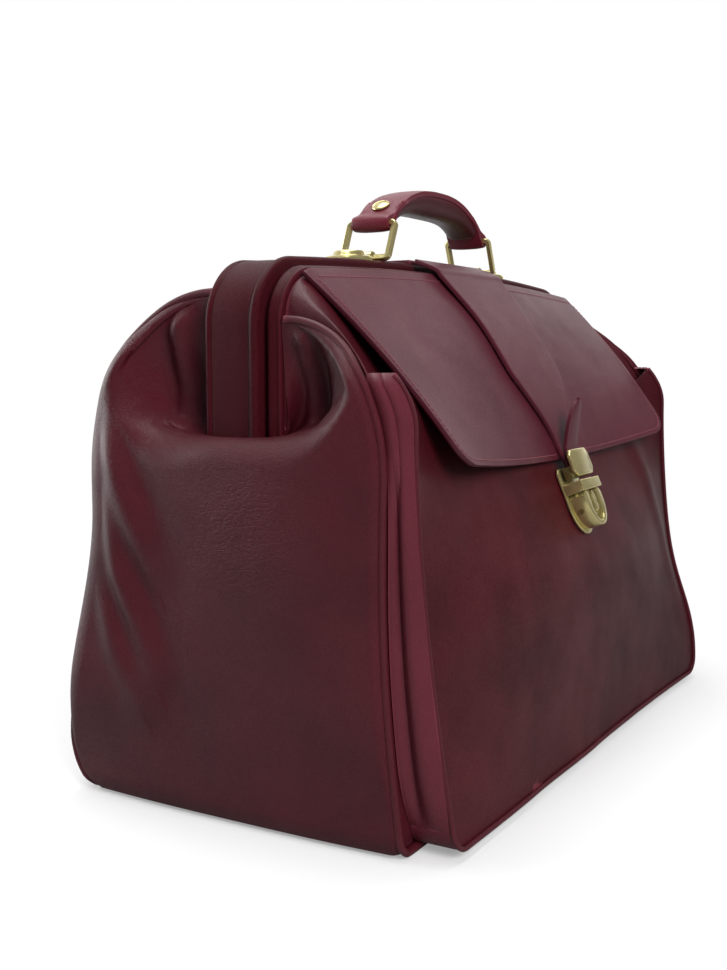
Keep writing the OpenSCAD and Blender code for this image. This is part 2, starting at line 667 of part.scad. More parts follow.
// Push button with a ridge and two plain dimples
module lock_button() {
    o0 = plate_t + 3.2;
    top = throat_low - 0.6;
    low = -lock_down + 7 + button_travel + 0.6;
    color("#c0b278") lock_place() difference() {
        union() {
            lock_slab(o0, lock_depth + plate_t - 2) lock_outline(button_x, low, top);
            lock_slab(lock_depth + plate_t - 2, lock_depth + plate_t - 0.5)
                lock_outline(button_x - 4.6, low + 2, top);
        }
        for (h = [-4, -8])
            translate([0, -lock_depth - plate_t + 1.1, h]) rotate([90, 0, 0]) cylinder(h = 2, r = 0.8);
    }
}

module hinge_pin(dir) {
    x0 = frame_x - bar_off - front_off - bar_t;
    color("#b0a070") translate([0, hinge_y, hinge_z]) rotate([0, dir * 90, 0]) {
        translate([0, 0, x0 - 0.1]) cylinder(h = bar_t + 0.2, r = pin_r);
        translate([0, 0, x0 + bar_t + 0.1]) cylinder(h = 1.4, r = pin_r + 1.6);
        translate([0, 0, x0 - 1.1]) cylinder(h = 1, r = pin_r + 1.2);
    }
}
module hinge_pin_left() { hinge_pin(-1); }
module hinge_pin_right() { hinge_pin(1); }

module front_bar() { color("#9a9a98") frame_bar(front_off, front_cover_y0, front_cover_y1, 1); }
module back_bar() { color("#9a9a98") frame_bar(front_off, parting_y, back_cover_y, 0); }
module front_cover() { color("#54242e") frame_cover(front_off, front_cover_y0, front_cover_y1, leg_low_z); }
module back_cover() {
    color("#522430") {
        difference() {
            band(0, front_off + cover_t, parting_y, back_cover_y, leg_low_z);
            band(front_off + bar_off - bar_gap, front_off + bar_off + bar_t + bar_gap,
                 parting_y + 1.4 - bar_gap, back_cover_y - 1.4 + bar_gap, leg_low_z - 1);
        }
        band(-bead_h, 0.5, parting_y, parting_y + bead_w, leg_low_z);
    }
}

module strap_anchor() {
    half = strap_top_x;
    color("#4c202a") translate([-half, parting_y + 1.4, strap_seat_z])
        cube([2 * half, back_cover_y - parting_y - 3, strap_t]);
}

// Round stepped bases on the band, and the lugs that hold the rings
function band_z(x) = crown_z - x * x / (2 * crown_r);
module handle_bases() {
    for (dir = [-1, 1])
        color("#b3a468") translate([dir * base_disc_x, handle_y, band_z(base_disc_x) + 0.35])
            rotate([0, dir * asin(base_disc_x / crown_r), 0]) {
                cylinder(h = disc_h, r = base_disc_r);
                cylinder(h = disc_h + disc_step_h, r = base_disc_r - 5);
            }
}
module handle_lugs() {
    r = ring_r + run_gap;
    reach = base_disc_x - base_disc_r - ring_low_x - 0.3;
    for (dir = [-1, 1])
        color("#a99a5c") translate([dir * ring_low_x, handle_y, ring_low_z]) difference() {
            union() {
                translate([0, lug_w / 2, 0]) rotate([90, 0, 0]) cylinder(h = lug_w, r = r + lug_wall);
                translate([dir > 0 ? 0 : -reach, -lug_w / 2, -4.2]) cube([reach, lug_w, 2.4]);
            }
            translate([0, lug_w, 0]) rotate([90, 0, 0]) cylinder(h = 2 * lug_w, r = r);
            translate([-10, -lug_w, -8.2]) cube([20, 2 * lug_w, 4]);
        }
}

// Rectangular wire ring between a lower and an upper bar
module ring(dir) {
    half = ring_w / 2 + ring_r;
    low = [dir * ring_low_x, handle_y, ring_low_z];
    len = norm([ring_low_x - ring_top_x, ring_rise]);
    color("#b3a468") translate(low) rotate([0, -dir * ring_lean, 0]) {
        for (z = [0, len]) {
            translate([0, half, z]) rotate([90, 0, 0]) cylinder(h = 2 * half, r = ring_r);
            for (y = [-half, half]) translate([0, y, z]) sphere(ring_r);
        }
        for (y = [-half, half]) translate([0, y, 0]) cylinder(h = len, r = ring_r);
    }
}
module ring_left() { ring(-1); }
module ring_right() { ring(1); }

// Side outline of the handle between its eyes
function handle_top(x) = ring_top_z + handle_rise * (1 - pow(abs(x) / (ring_top_x + 4), 2.6));
function handle_low(x) = ring_top_z + handle_rise - handle_t - 12.5 * pow(abs(x) / ring_top_x, 4);
module handle_side(top_in, low_in, half) {
    xs = [for (t = side_steps(24)) t * half];
    polygon(concat([for (x = xs) [x, handle_top(x) - top_in]],
                   [for (i = [len(xs) - 1 : -1 : 0]) [xs[i], low_in ? handle_top(xs[i]) - low_in : handle_low(xs[i])]]));
}
// Leather strip along the top of the handle, folded round both ring bars
module handle_grip() {
    color("#54242e") translate([0, handle_y + handle_w / 2, 0]) rotate([90, 0, 0]) difference() {
        union() {
            linear_extrude(handle_w) handle_side(0, handle_strip_t, ring_top_x - 1);
            for (dir = [-1, 1]) translate([dir * ring_top_x, ring_top_z, 0]) cylinder(h = handle_w, r = handle_eye_r);
        }
        translate([-ring_top_x, ring_top_z, -1]) cylinder(h = handle_w + 2, r = ring_r + run_gap);
        translate([ring_top_x, ring_top_z, -1]) cylinder(h = handle_w + 2, r = ring_r + handle_free_gap);
    }
}
// Padded underside, sewn below the strip
module handle_pad() {
    color("#4a2028") translate([0, handle_y + handle_w / 2 - 1, 0]) rotate([90, 0, 0])
        linear_extrude(handle_w - 2) handle_side(handle_strip_t + 0.2, 0, rivet_x + 1);
}
module handle_rivets() {
    slope = atan((handle_top(rivet_x - 1) - handle_top(rivet_x + 1)) / 2);
    for (dir = [-1, 1])
        color("#b3a468") translate([dir * rivet_x, handle_y, handle_top(rivet_x)]) rotate([0, dir * slope, 0])
            translate([0, 0, 0.25]) cylinder(h = rivet_h, r = rivet_r);
}

module flap_layer(off0, off1) {
    us = [for (t = steps(18)) 2 * t - 1];
    ts = steps(12);
    skin([for (t = ts) [for (u = us) flap_point(u, t, off1)]],
         [for (t = ts) [for (u = us) flap_point(u, t, off0)]], true);
}
module flap_leather() { color("#643640") flap_layer(flap_skin_off, flap_outer_off); }
module flap_lining() { color("#58303a") flap_layer(0, flap_lining_t); }

module strap_leather() {
    ts = [-1, 0, 0.04, 0.12, 0.22, 0.32, 0.42, 0.52, 0.6, 0.68, 0.76, 0.82, 0.88, 0.93, 0.96, 1];
    us = [-1, -0.5, 0, 0.5, 1];
    color("#5c2e38") {
        skin([for (t = ts) [for (u = us) strap_back(u, t) + strap_normal(t) * strap_thick(t)]],
             [for (t = ts) [for (u = us) strap_back(u, t)]], true);
    }
}
module strap_tab() {
    ts = concat([for (t = steps(8)) 0.8 * t], [0.86, 0.92, 0.97, 1]);
    us = [-1, 0, 1];
    color("#7a3242") skin([for (t = ts) [for (u = us) tab_back(u, t) + strap_end_t * tab_normal(t)]],
                          [for (t = ts) [for (u = us) tab_back(u, t)]]);
}
module hasp_front() {
    c = 4;
    w = lock_x;
    color("#c0b278") lock_place() lock_slab(hasp_front_o, hasp_front_o + hasp_front_t)
        polygon([[-w, hasp_low + c], [-w + c, hasp_low], [w - c, hasp_low], [w, hasp_low + c],
                 [w, hasp_high - c], [w - c, hasp_high], [-w + c, hasp_high], [-w, hasp_high - c]]);
}
module hasp_back() {
    w = lock_x - 2;
    color("#a99a5c") lock_place() {
        translate([-w, -hasp_back_o - hasp_t, hasp_low]) cube([2 * w, hasp_t, 8.5]);
        for (dir = [-1, 1])
            translate([dir > 0 ? strap_end_x + 1 : -w, -hasp_front_o + 0.05, hasp_low])
                cube([w - strap_end_x - 1, hasp_front_o - hasp_back_o - hasp_t - 0.05, 8]);
    }
}
module hasp_rivets() {
    color("#8d8040") lock_place()
        for (dir = [-1, 1])
            translate([dir * 5, -hasp_back_o - hasp_t, hasp_low + 6]) rotate([90, 0, 0])
                cylinder(h = hasp_front_o - hasp_back_o - hasp_t, r = 1.6);
}

base_panel();
base_board();
lining();
front_wall();
back_wall();
end_left();
end_right();
front_piping();
back_piping();
pocket_front();
pocket_gusset();
pocket_piping();
lock_plate();
lock_case();
lock_throat();
lock_backing();
lock_screws();
hinge_pin_left();
hinge_pin_right();
front_bar();
front_cover();
front_shoulder();
front_fold_left();
front_fold_right();
front_top_piping();
back_bar();
back_cover();
back_shoulder();
back_fold_left();
back_fold_right();
back_top_piping();
strap_anchor();
handle_bases();
handle_lugs();
flap_leather();
flap_lining();
strap_leather();
strap_tab();
hasp_front();
hasp_back();
hasp_rivets();
lock_button();
ring_left();
ring_right();
handle_grip();
handle_pad();
handle_rivets();
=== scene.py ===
import bpy
import math
from mathutils import Matrix, Vector, noise


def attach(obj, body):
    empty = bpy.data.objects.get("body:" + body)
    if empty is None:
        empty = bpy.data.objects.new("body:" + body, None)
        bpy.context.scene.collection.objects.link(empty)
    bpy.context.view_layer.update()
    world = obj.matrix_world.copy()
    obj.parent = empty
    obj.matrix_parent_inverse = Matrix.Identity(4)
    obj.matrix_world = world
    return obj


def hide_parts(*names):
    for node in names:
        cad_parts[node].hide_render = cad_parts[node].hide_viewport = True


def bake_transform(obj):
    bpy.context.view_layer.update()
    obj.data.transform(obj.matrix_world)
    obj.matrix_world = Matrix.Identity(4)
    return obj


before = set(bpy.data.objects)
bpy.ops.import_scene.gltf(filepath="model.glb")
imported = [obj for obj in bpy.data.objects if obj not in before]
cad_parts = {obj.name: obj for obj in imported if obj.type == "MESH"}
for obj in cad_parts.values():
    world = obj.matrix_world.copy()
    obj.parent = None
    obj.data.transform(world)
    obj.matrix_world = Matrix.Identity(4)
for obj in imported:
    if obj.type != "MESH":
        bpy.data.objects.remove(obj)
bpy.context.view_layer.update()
mm = 0.001
print("frame loaded")

# camera at the photograph's angle
view = {
    "place": (-0.7623, -0.3912, 0.2619), "tilt": 90 - 6.04, "turn": 30.10 - 90,
    "lens": 59.54, "sensor": 36,
}


def linked(name, data):
    thing = bpy.data.objects.new(name, data)
    bpy.context.scene.collection.objects.link(thing)
    return thing


cameraData = bpy.data.cameras.new("photoCamera")
camera = linked("photoCamera", cameraData)
camera.location = view["place"]
camera.rotation_euler = (math.radians(view["tilt"]), 0, math.radians(view["turn"]))
cameraData.sensor_fit = "HORIZONTAL"
cameraData.sensor_width = view["sensor"]
cameraData.lens = view["lens"]
bpy.context.scene.camera = camera
bpy.context.scene.view_settings.view_transform = "Standard"

# studio: dim room, white backdrop behind and right of the bag, soft boxes and a floor that keeps the shadow
studio = {
    "room": 0.16, "roomTint": (0.98, 0.94, 1, 1),
    "backdrop": (0.6, 0.8, 0.0), "backdropFrom": 0.22, "backdropFull": 0.85,
    "boxes": {
        "overhead": {"place": (0.05, 0.25, 1.85), "aim": (0, 0, 0.2), "size": (1.4, 1.1), "watts": 24},
        "frontFill": {"place": (-1.25, -1.75, 1.35), "aim": (0, 0, 0.12), "size": (1.3, 1.3), "watts": 60},
        "rightWall": {"place": (1.9, 0.5, 0.95), "aim": (0, 0, 0.25), "size": (1.5, 1.1), "watts": 4},
        "backWall": {"place": (-0.45, 1.9, 0.72), "aim": (-0.15, 0, 0.18), "size": (1.6, 1.2), "watts": 24},
    },
    "noGloss": "frontFill", "floorHalf": 6, "floorDown": 0.0004, "floorPale": 0.93, "floorBounce": 0.35,
    "shadowNear": 0.24, "shadowFar": 0.55, "floorLift": 0.3, "sweepFrom": 0.35, "sweepFull": 1.0,
}


def fillNode(tree, node, inputs):
    for key, value in inputs.items():
        if isinstance(value, bpy.types.NodeSocket):
            tree.links.new(value, node.inputs[key])
        else:
            node.inputs[key].default_value = value
    return node


def addNode(tree, kind, inputs=None, **settings):
    node = tree.nodes.new(kind)
    for key, value in settings.items():
        setattr(node, key, value)
    return fillNode(tree, node, inputs or {})


def mathNode(tree, operation, *values):
    return addNode(tree, "ShaderNodeMath", dict(enumerate(values)), operation=operation).outputs[0]


def vectorNode(tree, operation, *values):
    return addNode(tree, "ShaderNodeVectorMath", dict(enumerate(values)), operation=operation).outputs


def mixColour(tree, factor, a, b):
    return addNode(tree, "ShaderNodeMix", {0: factor, 6: a, 7: b}, data_type="RGBA").outputs[2]


def rangeNode(tree, value, low, high, toLow, toHigh):
    return addNode(tree, "ShaderNodeMapRange", {0: value, 1: low, 2: high, 3: toLow, 4: toHigh}).outputs[0]


def towardBackdrop(tree, direction, low, high):
    along = vectorNode(tree, "DOT_PRODUCT", direction, studio["backdrop"])["Value"]
    return rangeNode(tree, along, low, high, 0.0, 1.0)


def seenWhite(tree, backdrop):
    path = addNode(tree, "ShaderNodeLightPath")
    mirror = mathNode(tree, "MULTIPLY", path.outputs["Is Glossy Ray"], backdrop)
    through = mathNode(tree, "MAXIMUM", path.outputs["Is Camera Ray"], path.outputs["Is Transmission Ray"])
    return mathNode(tree, "MAXIMUM", mirror, through)


world = bpy.data.worlds.new("studio")
bpy.context.scene.world = world
world.use_nodes = True
tree = world.node_tree
room = tree.nodes["Background"]
fillNode(tree, room, {"Color": studio["roomTint"], "Strength": studio["room"]})
white = addNode(tree, "ShaderNodeBackground", {"Color": (1, 1, 1, 1), "Strength": 1.0})
direction = addNode(tree, "ShaderNodeTexCoord").outputs["Generated"]
backdrop = towardBackdrop(tree, direction, studio["backdropFrom"], studio["backdropFull"])
surround = addNode(tree, "ShaderNodeMixShader",
                   {0: seenWhite(tree, backdrop), 1: room.outputs[0], 2: white.outputs[0]})
tree.links.new(surround.outputs[0], tree.nodes["World Output"].inputs["Surface"])
for boxName, softBox in studio["boxes"].items():
    lampData = bpy.data.lights.new(boxName, "AREA")
    lampData.shape = "RECTANGLE"
    lampData.size, lampData.size_y = softBox["size"]
    lampData.energy = softBox["watts"]
    lamp = linked(boxName, lampData)
    lamp.location = softBox["place"]
    lamp.visible_glossy = boxName != studio["noGloss"]
    aim = Vector(softBox["aim"]) - Vector(softBox["place"])
    lamp.rotation_euler = aim.to_track_quat("-Z", "Y").to_euler()
print("studio ready")

# sizes in millimetres that the leather pieces share
bag = {
    "seamX": 230, "insetX": 1.2, "baseY": 107, "wallZ": 3, "leather": 2.4, "endBulge": 15, "trim": 1.5,
    "frontDip": 5, "backOut": 2, "backSag": 24, "backSagZ": 40, "backSagTop": 0.88, "backTuck": 16,
    "backTuckH": 36, "toeIn": 6, "toeH": 14, "lipZ": 217.5, "lipRise": 31, "lipPower": 3.2,
    "shoulderY": 95, "shoulderZ": 200, "shoulderDrop": 34, "midRound": 1.2, "sideRound": {-1: 2.1, 1: 2.2},
    "sidePower": 40, "seatOff": 9, "seatFront": 26.4, "seatBack": 20.4, "seatBackIn": 5,
    "crownZ": 322, "crownR": 3333, "frameX": 226, "cornerR": 32, "legLowZ": 214, "hingeZ": 206,
}
waves = {"wide": 62, "close": 19, "share": 0.22, "apart": 7}  # slow and quick unevenness of the leather


def ease(t):
    t = max(0.0, min(1.0, t))
    return t * t * (3 - 2 * t)


def mix(a, b, t):
    return a * (1 - t) + b * t


def bend(a, b, c, t):
    return a * (1 - t) ** 2 + b * 2 * t * (1 - t) + c * t * t


def bump(t, centre, width):
    return math.exp(-((t - centre) / width) ** 2)


def outlineZ(x, off):
    r = bag["cornerR"] - off
    d = max(0, abs(x) - (bag["frameX"] - bag["cornerR"]))
    return bag["crownZ"] - off - x * x / (2 * bag["crownR"]) - (r - math.sqrt(max(0, r * r - d * d)))


def seatX(side):
    return bag["frameX"] - bag["seatOff"] - (0 if side < 0 else bag["seatBackIn"])


def seatZ(side):
    return outlineZ(seatX(side), bag["seatOff"])


def seatY(side):
    return bag["seatFront"] if side < 0 else bag["seatBack"]


def toe(z):
    return bag["toeIn"] * max(0, 1 - z / bag["toeH"]) ** 2


def wallY(z, side):
    if side < 0:
        t = min(1, z / bag["shoulderZ"])
        return mix(bag["baseY"], bag["shoulderY"], t) - bag["frontDip"] * math.sin(math.pi * t) - toe(z)
    sag = 1 - ease((z - bag["backSagZ"]) / (bag["backSagTop"] * bag["shoulderZ"] - bag["backSagZ"]))
    return (bag["shoulderY"] + bag["backOut"] + bag["backSag"] * sag
            - bag["backTuck"] * max(0, 1 - z / bag["backTuckH"]) ** 2 - toe(z))


def shoulderRound(u, side):
    return mix(bag["midRound"], bag["sideRound"][side], abs(u) ** bag["sidePower"])


def seamY(z, side):
    if z <= bag["shoulderZ"]:
        return wallY(z, side)
    t = min(1, (z - bag["shoulderZ"]) / (seatZ(side) - bag["shoulderZ"]))
    n = shoulderRound(1, side)
    return seatY(side) + (wallY(bag["shoulderZ"], side) - seatY(side)) * (1 - t ** n) ** (1 / n)


def shoulderAt(u):
    return bag["shoulderZ"] - bag["shoulderDrop"] * (1 - u * u)


def shoulderPoint(u, a, side):
    n = shoulderRound(u, side)
    sa, ca = math.sin(a), max(0, math.cos(a))
    x = u * mix(bag["seamX"] - bag["insetX"], seatX(side), sa * sa)
    low = shoulderAt(u)
    top = outlineZ(u * seatX(side), bag["seatOff"])
    y = seatY(side) + (wallY(low, side) - seatY(side)) * ca ** (2 / n)
    return Vector((x, side * y, low + (top - low) * max(0, sa) ** (2 / n)))


def lipAt(s):
    return bag["lipZ"] + bag["lipRise"] * abs(s) ** bag["lipPower"]


def swell(a, b, seed, high=0.9):
    wide = noise.noise(Vector((a / waves["wide"], b / waves["wide"], seed)))
    close = noise.noise(Vector((a / waves["close"], b / waves["close"], seed + waves["apart"])))
    return high * (wide + waves["share"] * close)


mergeNear = 0.00001


def clearSelection():
    if bpy.context.object and bpy.context.object.mode != "OBJECT":
        bpy.ops.object.mode_set(mode="OBJECT")
    bpy.ops.object.select_all(action="DESELECT")


def only(piece):
    clearSelection()
    piece.select_set(True)
    bpy.context.view_layer.objects.active = piece


def applyModifier(piece, kind, **values):
    only(piece)
    modifier = piece.modifiers.new(kind.lower(), kind)
    for key, value in values.items():
        setattr(modifier, key, value)
    bpy.ops.object.modifier_apply(modifier=modifier.name)


def editAll(piece):
    only(piece)
    bpy.ops.object.mode_set(mode="EDIT")
    bpy.ops.mesh.select_all(action="SELECT")


def faceOut(piece):
    editAll(piece)
    bpy.ops.mesh.remove_doubles(threshold=mergeNear)
    bpy.ops.mesh.normals_make_consistent(inside=False)
    bpy.ops.object.mode_set(mode="OBJECT")


def finishPiece(piece, name, material, angle=50):
    piece.name = name
    piece.data.name = name
    piece.data.materials.clear()
    piece.data.materials.append(material)
    only(piece)
    bpy.ops.object.shade_smooth_by_angle(angle=math.radians(angle))
    return piece


def shapedGrid(columns, rows, place, closeAround=False, soften=None):
    clearSelection()
    bpy.ops.mesh.primitive_grid_add(x_subdivisions=columns, y_subdivisions=rows, size=2)
    piece = bpy.context.object
    soft = piece.vertex_groups.new(name="soft")
    for vertex in piece.data.vertices:
        u, v = vertex.co.x, (vertex.co.y + 1) / 2
        point = Vector(place(u, v))
        vertex.co = point * mm
        if soften:
            soft.add([vertex.index], soften(u, v, point), "REPLACE")
    if soften:
        applyModifier(piece, "SMOOTH", factor=0.5, iterations=70, vertex_group="soft")
    piece.vertex_groups.clear()
    if closeAround:
        editAll(piece)
        bpy.ops.mesh.remove_doubles(threshold=2 * mergeNear)
        bpy.ops.object.mode_set(mode="OBJECT")
    return piece


def breakEdges(piece, width, segments, angle):
    applyModifier(piece, "BEVEL", width=width * mm, segments=segments, limit_method="ANGLE",
                  angle_limit=math.radians(angle))


def leatherSheet(name, columns, rows, place, thick, material, flip=False, rim=0.0, soften=None):
    piece = shapedGrid(columns, rows, place, soften=soften)
    if flip:
        piece.data.flip_normals()
    applyModifier(piece, "SOLIDIFY", thickness=thick * mm, offset=-1, use_even_offset=False)
    if rim:
        breakEdges(piece, rim, 3, 50)
    return finishPiece(piece, name, material)


# a round cord, or with square a closed ring of square wire
def cordPiece(name, points, radius, material, square=False):
    curve = bpy.data.curves.new(name, "CURVE")
    curve.dimensions = "3D"
    spline = curve.splines.new("POLY")
    spline.points.add(len(points) - 1)
    for knot, point in zip(spline.points, points):
        knot.co = (*(Vector(point) * mm), 1)
        knot.tilt = math.radians(45 if square else 0)
    spline.use_cyclic_u = square
    curve.bevel_depth = radius * mm
    curve.bevel_resolution = 0 if square else 3
    curve.use_fill_caps = not square
    only(linked(name, curve))
    bpy.ops.object.convert(target="MESH")
    piece = bpy.context.object
    faceOut(piece)
    return finishPiece(piece, name, material, 60)


# a curve through the points, then an even number of points along it
def smoothPath(points, count):
    knots = [Vector(p) for p in points]
    dense = []
    for i in range(len(knots) - 1):
        p0, p1, p2, p3 = (knots[max(0, i - 1)], knots[i], knots[i + 1], knots[min(len(knots) - 1, i + 2)])
        for k in range(12):
            t = k / 12
            dense.append(0.5 * (2 * p1 + (p2 - p0) * t + (2 * p0 - 5 * p1 + 4 * p2 - p3) * t * t
                                + (3 * p1 - p0 - 3 * p2 + p3) * t ** 3))
    dense.append(knots[-1])
    return evenPath(dense, count)


def evenPath(points, count):
    points = [Vector(p) for p in points]
    lengths = [0.0]
    for a, b in zip(points, points[1:]):
        lengths.append(lengths[-1] + (b - a).length)
    even = []
    j = 0
    for i in range(count):
        want = lengths[-1] * i / (count - 1)
        while j < len(points) - 2 and lengths[j + 1] < want:
            j += 1
        span = lengths[j + 1] - lengths[j]
        even.append(points[j].lerp(points[j + 1], (want - lengths[j]) / span if span else 0))
    return even


# the jaw that each side's end tapes and their stitches move with
jawBody = {-1: "front_frame", 1: "back_frame"}


# hides the nodes a piece stands for and hangs the piece on the body it moves with; a flap piece is baked
# where it lies
def settle(piece, body, slot, *nodes):
    if nodes:
        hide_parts(*nodes)
    if body == "flap":
        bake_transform(piece)
    else:
        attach(piece, body)


def settleFolded(piece, side, slot, *nodes):
    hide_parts(*nodes)
    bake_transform(piece)


stitch = {"pitch": 3.4, "long": 2.5, "wide": 0.75, "high": 0.55, "lift": 0.15, "near": 0.004}


# one long bead for each stitch, set out along a path
def stitchRow(name, points, normals, body):
    clearSelection()
    bpy.ops.mesh.primitive_uv_sphere_add(segments=8, ring_count=5, radius=0.5)
    bead = bpy.context.object
    shape = [v.co.copy() for v in bead.data.vertices]
    loops = [tuple(p.vertices) for p in bead.data.polygons]
    bpy.data.objects.remove(bead)
    verts, faces = [], []
    want = stitch["pitch"] / 2
    for a, b, n in zip(points, points[1:], normals):
        step = b - a
        while want <= step.length:
            here = a + step * (want / step.length)
            along = step.normalized()
            across = along.cross(n).normalized()
            up = across.cross(along)
            first = len(verts)
            verts += [(here + along * co.z * stitch["long"] + across * co.x * stitch["wide"]
                       + up * co.y * stitch["high"]) * mm for co in shape]
            faces += [tuple(first + k for k in face) for face in loops]
            want += stitch["pitch"]
        want -= step.length
    mesh = bpy.data.meshes.new(name)
    mesh.from_pydata(verts, [], faces)
    piece = linked(name, mesh)
    faceOut(piece)
    finishPiece(piece, name, threadMaterial, 80)
    settle(piece, body, "dark_leather")


# stitches along a track of u and v on a sheet, with the sheet's normal taken from points just beside
def stitchLine(name, place, track, body, flip=False):
    points, normals = [], []
    for u, v in track:
        p = Vector(place(u, v))
        du = -stitch["near"] if u > 0 else stitch["near"]
        dv = -stitch["near"] if v > 0.5 else stitch["near"]
        n = (Vector(place(u + du, v)) - p).cross(Vector(place(u, v + dv)) - p).normalized()
        if du * dv < 0:
            n = -n
        n = -n if flip else n
        points.append(p + n * stitch["lift"])
        normals.append(n)
    stitchRow(name, points, normals, body)


def newGroup(name, inputs):
    group = bpy.data.node_groups.new(name, "ShaderNodeTree")
    colour, number = "NodeSocketColor", "NodeSocketFloat"
    for label, value in inputs.items():
        kind = number if isinstance(value, float) else colour
        group.interface.new_socket(label, in_out="INPUT", socket_type=kind).default_value = value
    for label, kind in {"Color": colour, "Roughness": number, "Height": number}.items():
        group.interface.new_socket(label, in_out="OUTPUT", socket_type=kind)
    return group, group.nodes.new("NodeGroupInput").outputs, group.nodes.new("NodeGroupOutput")


def objectPlace(tree):
    return addNode(tree, "ShaderNodeTexCoord").outputs["Object"]


def cloudNode(tree, place, scale, detail, rough=0.5):
    inputs = {"Vector": place, "Scale": scale, "Detail": detail, "Roughness": rough}
    return addNode(tree, "ShaderNodeTexNoise", inputs).outputs


def edgeNode(tree, place, scale, reach):
    inputs = {"Vector": place, "Scale": scale}
    cells = addNode(tree, "ShaderNodeTexVoronoi", inputs, feature="DISTANCE_TO_EDGE")
    return rangeNode(tree, cells.outputs["Distance"], 0.0, reach, 0.0, 1.0)


def linear(r, g, b):
    return tuple(((c / 255 + 0.055) / 1.055) ** 2.4 if c > 10 else c / 3294 for c in (r, g, b)) + (1,)


# pebbled grain, pull-up patches, creases and rubbed high spots of the aniline leather
leatherGroup, given, made = newGroup("leatherFace", {
    "Base": (0.1, 0.02, 0.03, 1), "Deep": (0.04, 0.01, 0.012, 1), "Rubbed": (0.2, 0.06, 0.07, 1),
    "Grain": 1.0, "Crinkle": 0.0, "Mottle": 1.0, "Wear": 0.75,
})
tree = leatherGroup
place = objectPlace(tree)
fine = cloudNode(tree, place, 800.0, 3.0, 0.6)["Fac"]
pebble = edgeNode(tree, place, 1000.0, 0.35)
warp = cloudNode(tree, place, 40.0, 3.0)["Color"]
pull = vectorNode(tree, "MULTIPLY", warp, (0.03, 0.03, 0.012))[0]
bent = vectorNode(tree, "ADD", place, pull)[0]
flat = addNode(tree, "ShaderNodeMapping", {"Vector": bent, "Scale": (0.6, 0.6, 1.7)}).outputs[0]
creaseLine = edgeNode(tree, flat, 230.0, 0.14)
broad = cloudNode(tree, place, 8.0, 4.0, 0.55)["Fac"]
patch = cloudNode(tree, place, 30.0, 5.0, 0.6)["Fac"]
broadLevel = rangeNode(tree, broad, 0.35, 0.66, 0.0, 1.0)
patchLevel = rangeNode(tree, patch, 0.38, 0.66, 0.0, 1.0)
mottle = mathNode(tree, "MULTIPLY_ADD", patchLevel, 0.45, broadLevel)
mottle = mathNode(tree, "MULTIPLY", mottle, given["Mottle"])
body = mixColour(tree, mathNode(tree, "MULTIPLY", mottle, 0.5), given["Base"], given["Deep"])
pits = mathNode(tree, "SUBTRACT", 1.0, pebble)
body = mixColour(tree, mathNode(tree, "MULTIPLY", pits, 0.3), body, given["Deep"])
curvature = addNode(tree, "ShaderNodeNewGeometry").outputs["Pointiness"]
rub = mathNode(tree, "MULTIPLY", rangeNode(tree, fine, 0.5, 0.75, 0.0, 1.0), 0.12)
edgeRub = mathNode(tree, "MULTIPLY", rangeNode(tree, curvature, 0.53, 0.62, 0.0, 1.0), given["Wear"])
rub = mathNode(tree, "ADD", rub, edgeRub)
body = mixColour(tree, mathNode(tree, "MINIMUM", rub, 0.85), body, given["Rubbed"])
shine = mathNode(tree, "MULTIPLY_ADD", broadLevel, 0.07, 0.33)
shine = mathNode(tree, "MULTIPLY_ADD", pits, 0.14, shine)
shine = mathNode(tree, "MULTIPLY_ADD", patchLevel, 0.06, shine)
height = mathNode(tree, "MULTIPLY_ADD", fine, 0.5, pebble)
height = mathNode(tree, "MULTIPLY", height, given["Grain"])
creases = mathNode(tree, "MULTIPLY", creaseLine, given["Crinkle"])
height = mathNode(tree, "ADD", height, creases)
fillNode(tree, made, {"Color": body, "Roughness": shine, "Height": height})


def newMaterial(name):
    material = bpy.data.materials.new(name)
    material.use_nodes = True
    return material, material.node_tree, material.node_tree.nodes["Principled BSDF"]


def surfaceFrom(tree, shader, group, bumpSize, strength):
    relief = addNode(tree, "ShaderNodeBump",
                     {"Height": group.outputs["Height"], "Distance": bumpSize, "Strength": strength})
    fillNode(tree, shader, {"Base Color": group.outputs["Color"], "Roughness": group.outputs["Roughness"],
                            "Normal": relief.outputs["Normal"]})


# patch is the centre and reach, in metres, of the part of a piece that is creased
def leatherMaterial(name, base, deep, rubbed, grain=1.0, crinkle=0.0, mottle=1.0, coat=0.1, patch=None,
                    wear=0.75, gloss=0.32):
    material, tree, shader = newMaterial(name)
    group = addNode(tree, "ShaderNodeGroup", node_tree=leatherGroup)
    fillNode(tree, group, {"Base": linear(*base), "Deep": linear(*deep), "Rubbed": linear(*rubbed),
                           "Grain": grain, "Crinkle": crinkle, "Mottle": mottle, "Wear": wear})
    if patch:
        spot = objectPlace(tree)
        centred = addNode(tree, "ShaderNodeMapping", {"Vector": spot, "Scale": (0.0, 1.0, 1.0)})
        centred.inputs["Location"].default_value = tuple(-c for c in patch[0])
        far = vectorNode(tree, "LENGTH", centred.outputs[0])["Value"]
        fillNode(tree, group, {"Crinkle": rangeNode(tree, far, patch[1] * 0.3, patch[1], crinkle, 0.0)})
    surfaceFrom(tree, shader, group, bumpSize=0.00009, strength=1.0)
    fillNode(tree, shader, {"Specular IOR Level": gloss, "Coat Weight": coat, "Coat Roughness": 0.25})
    return material


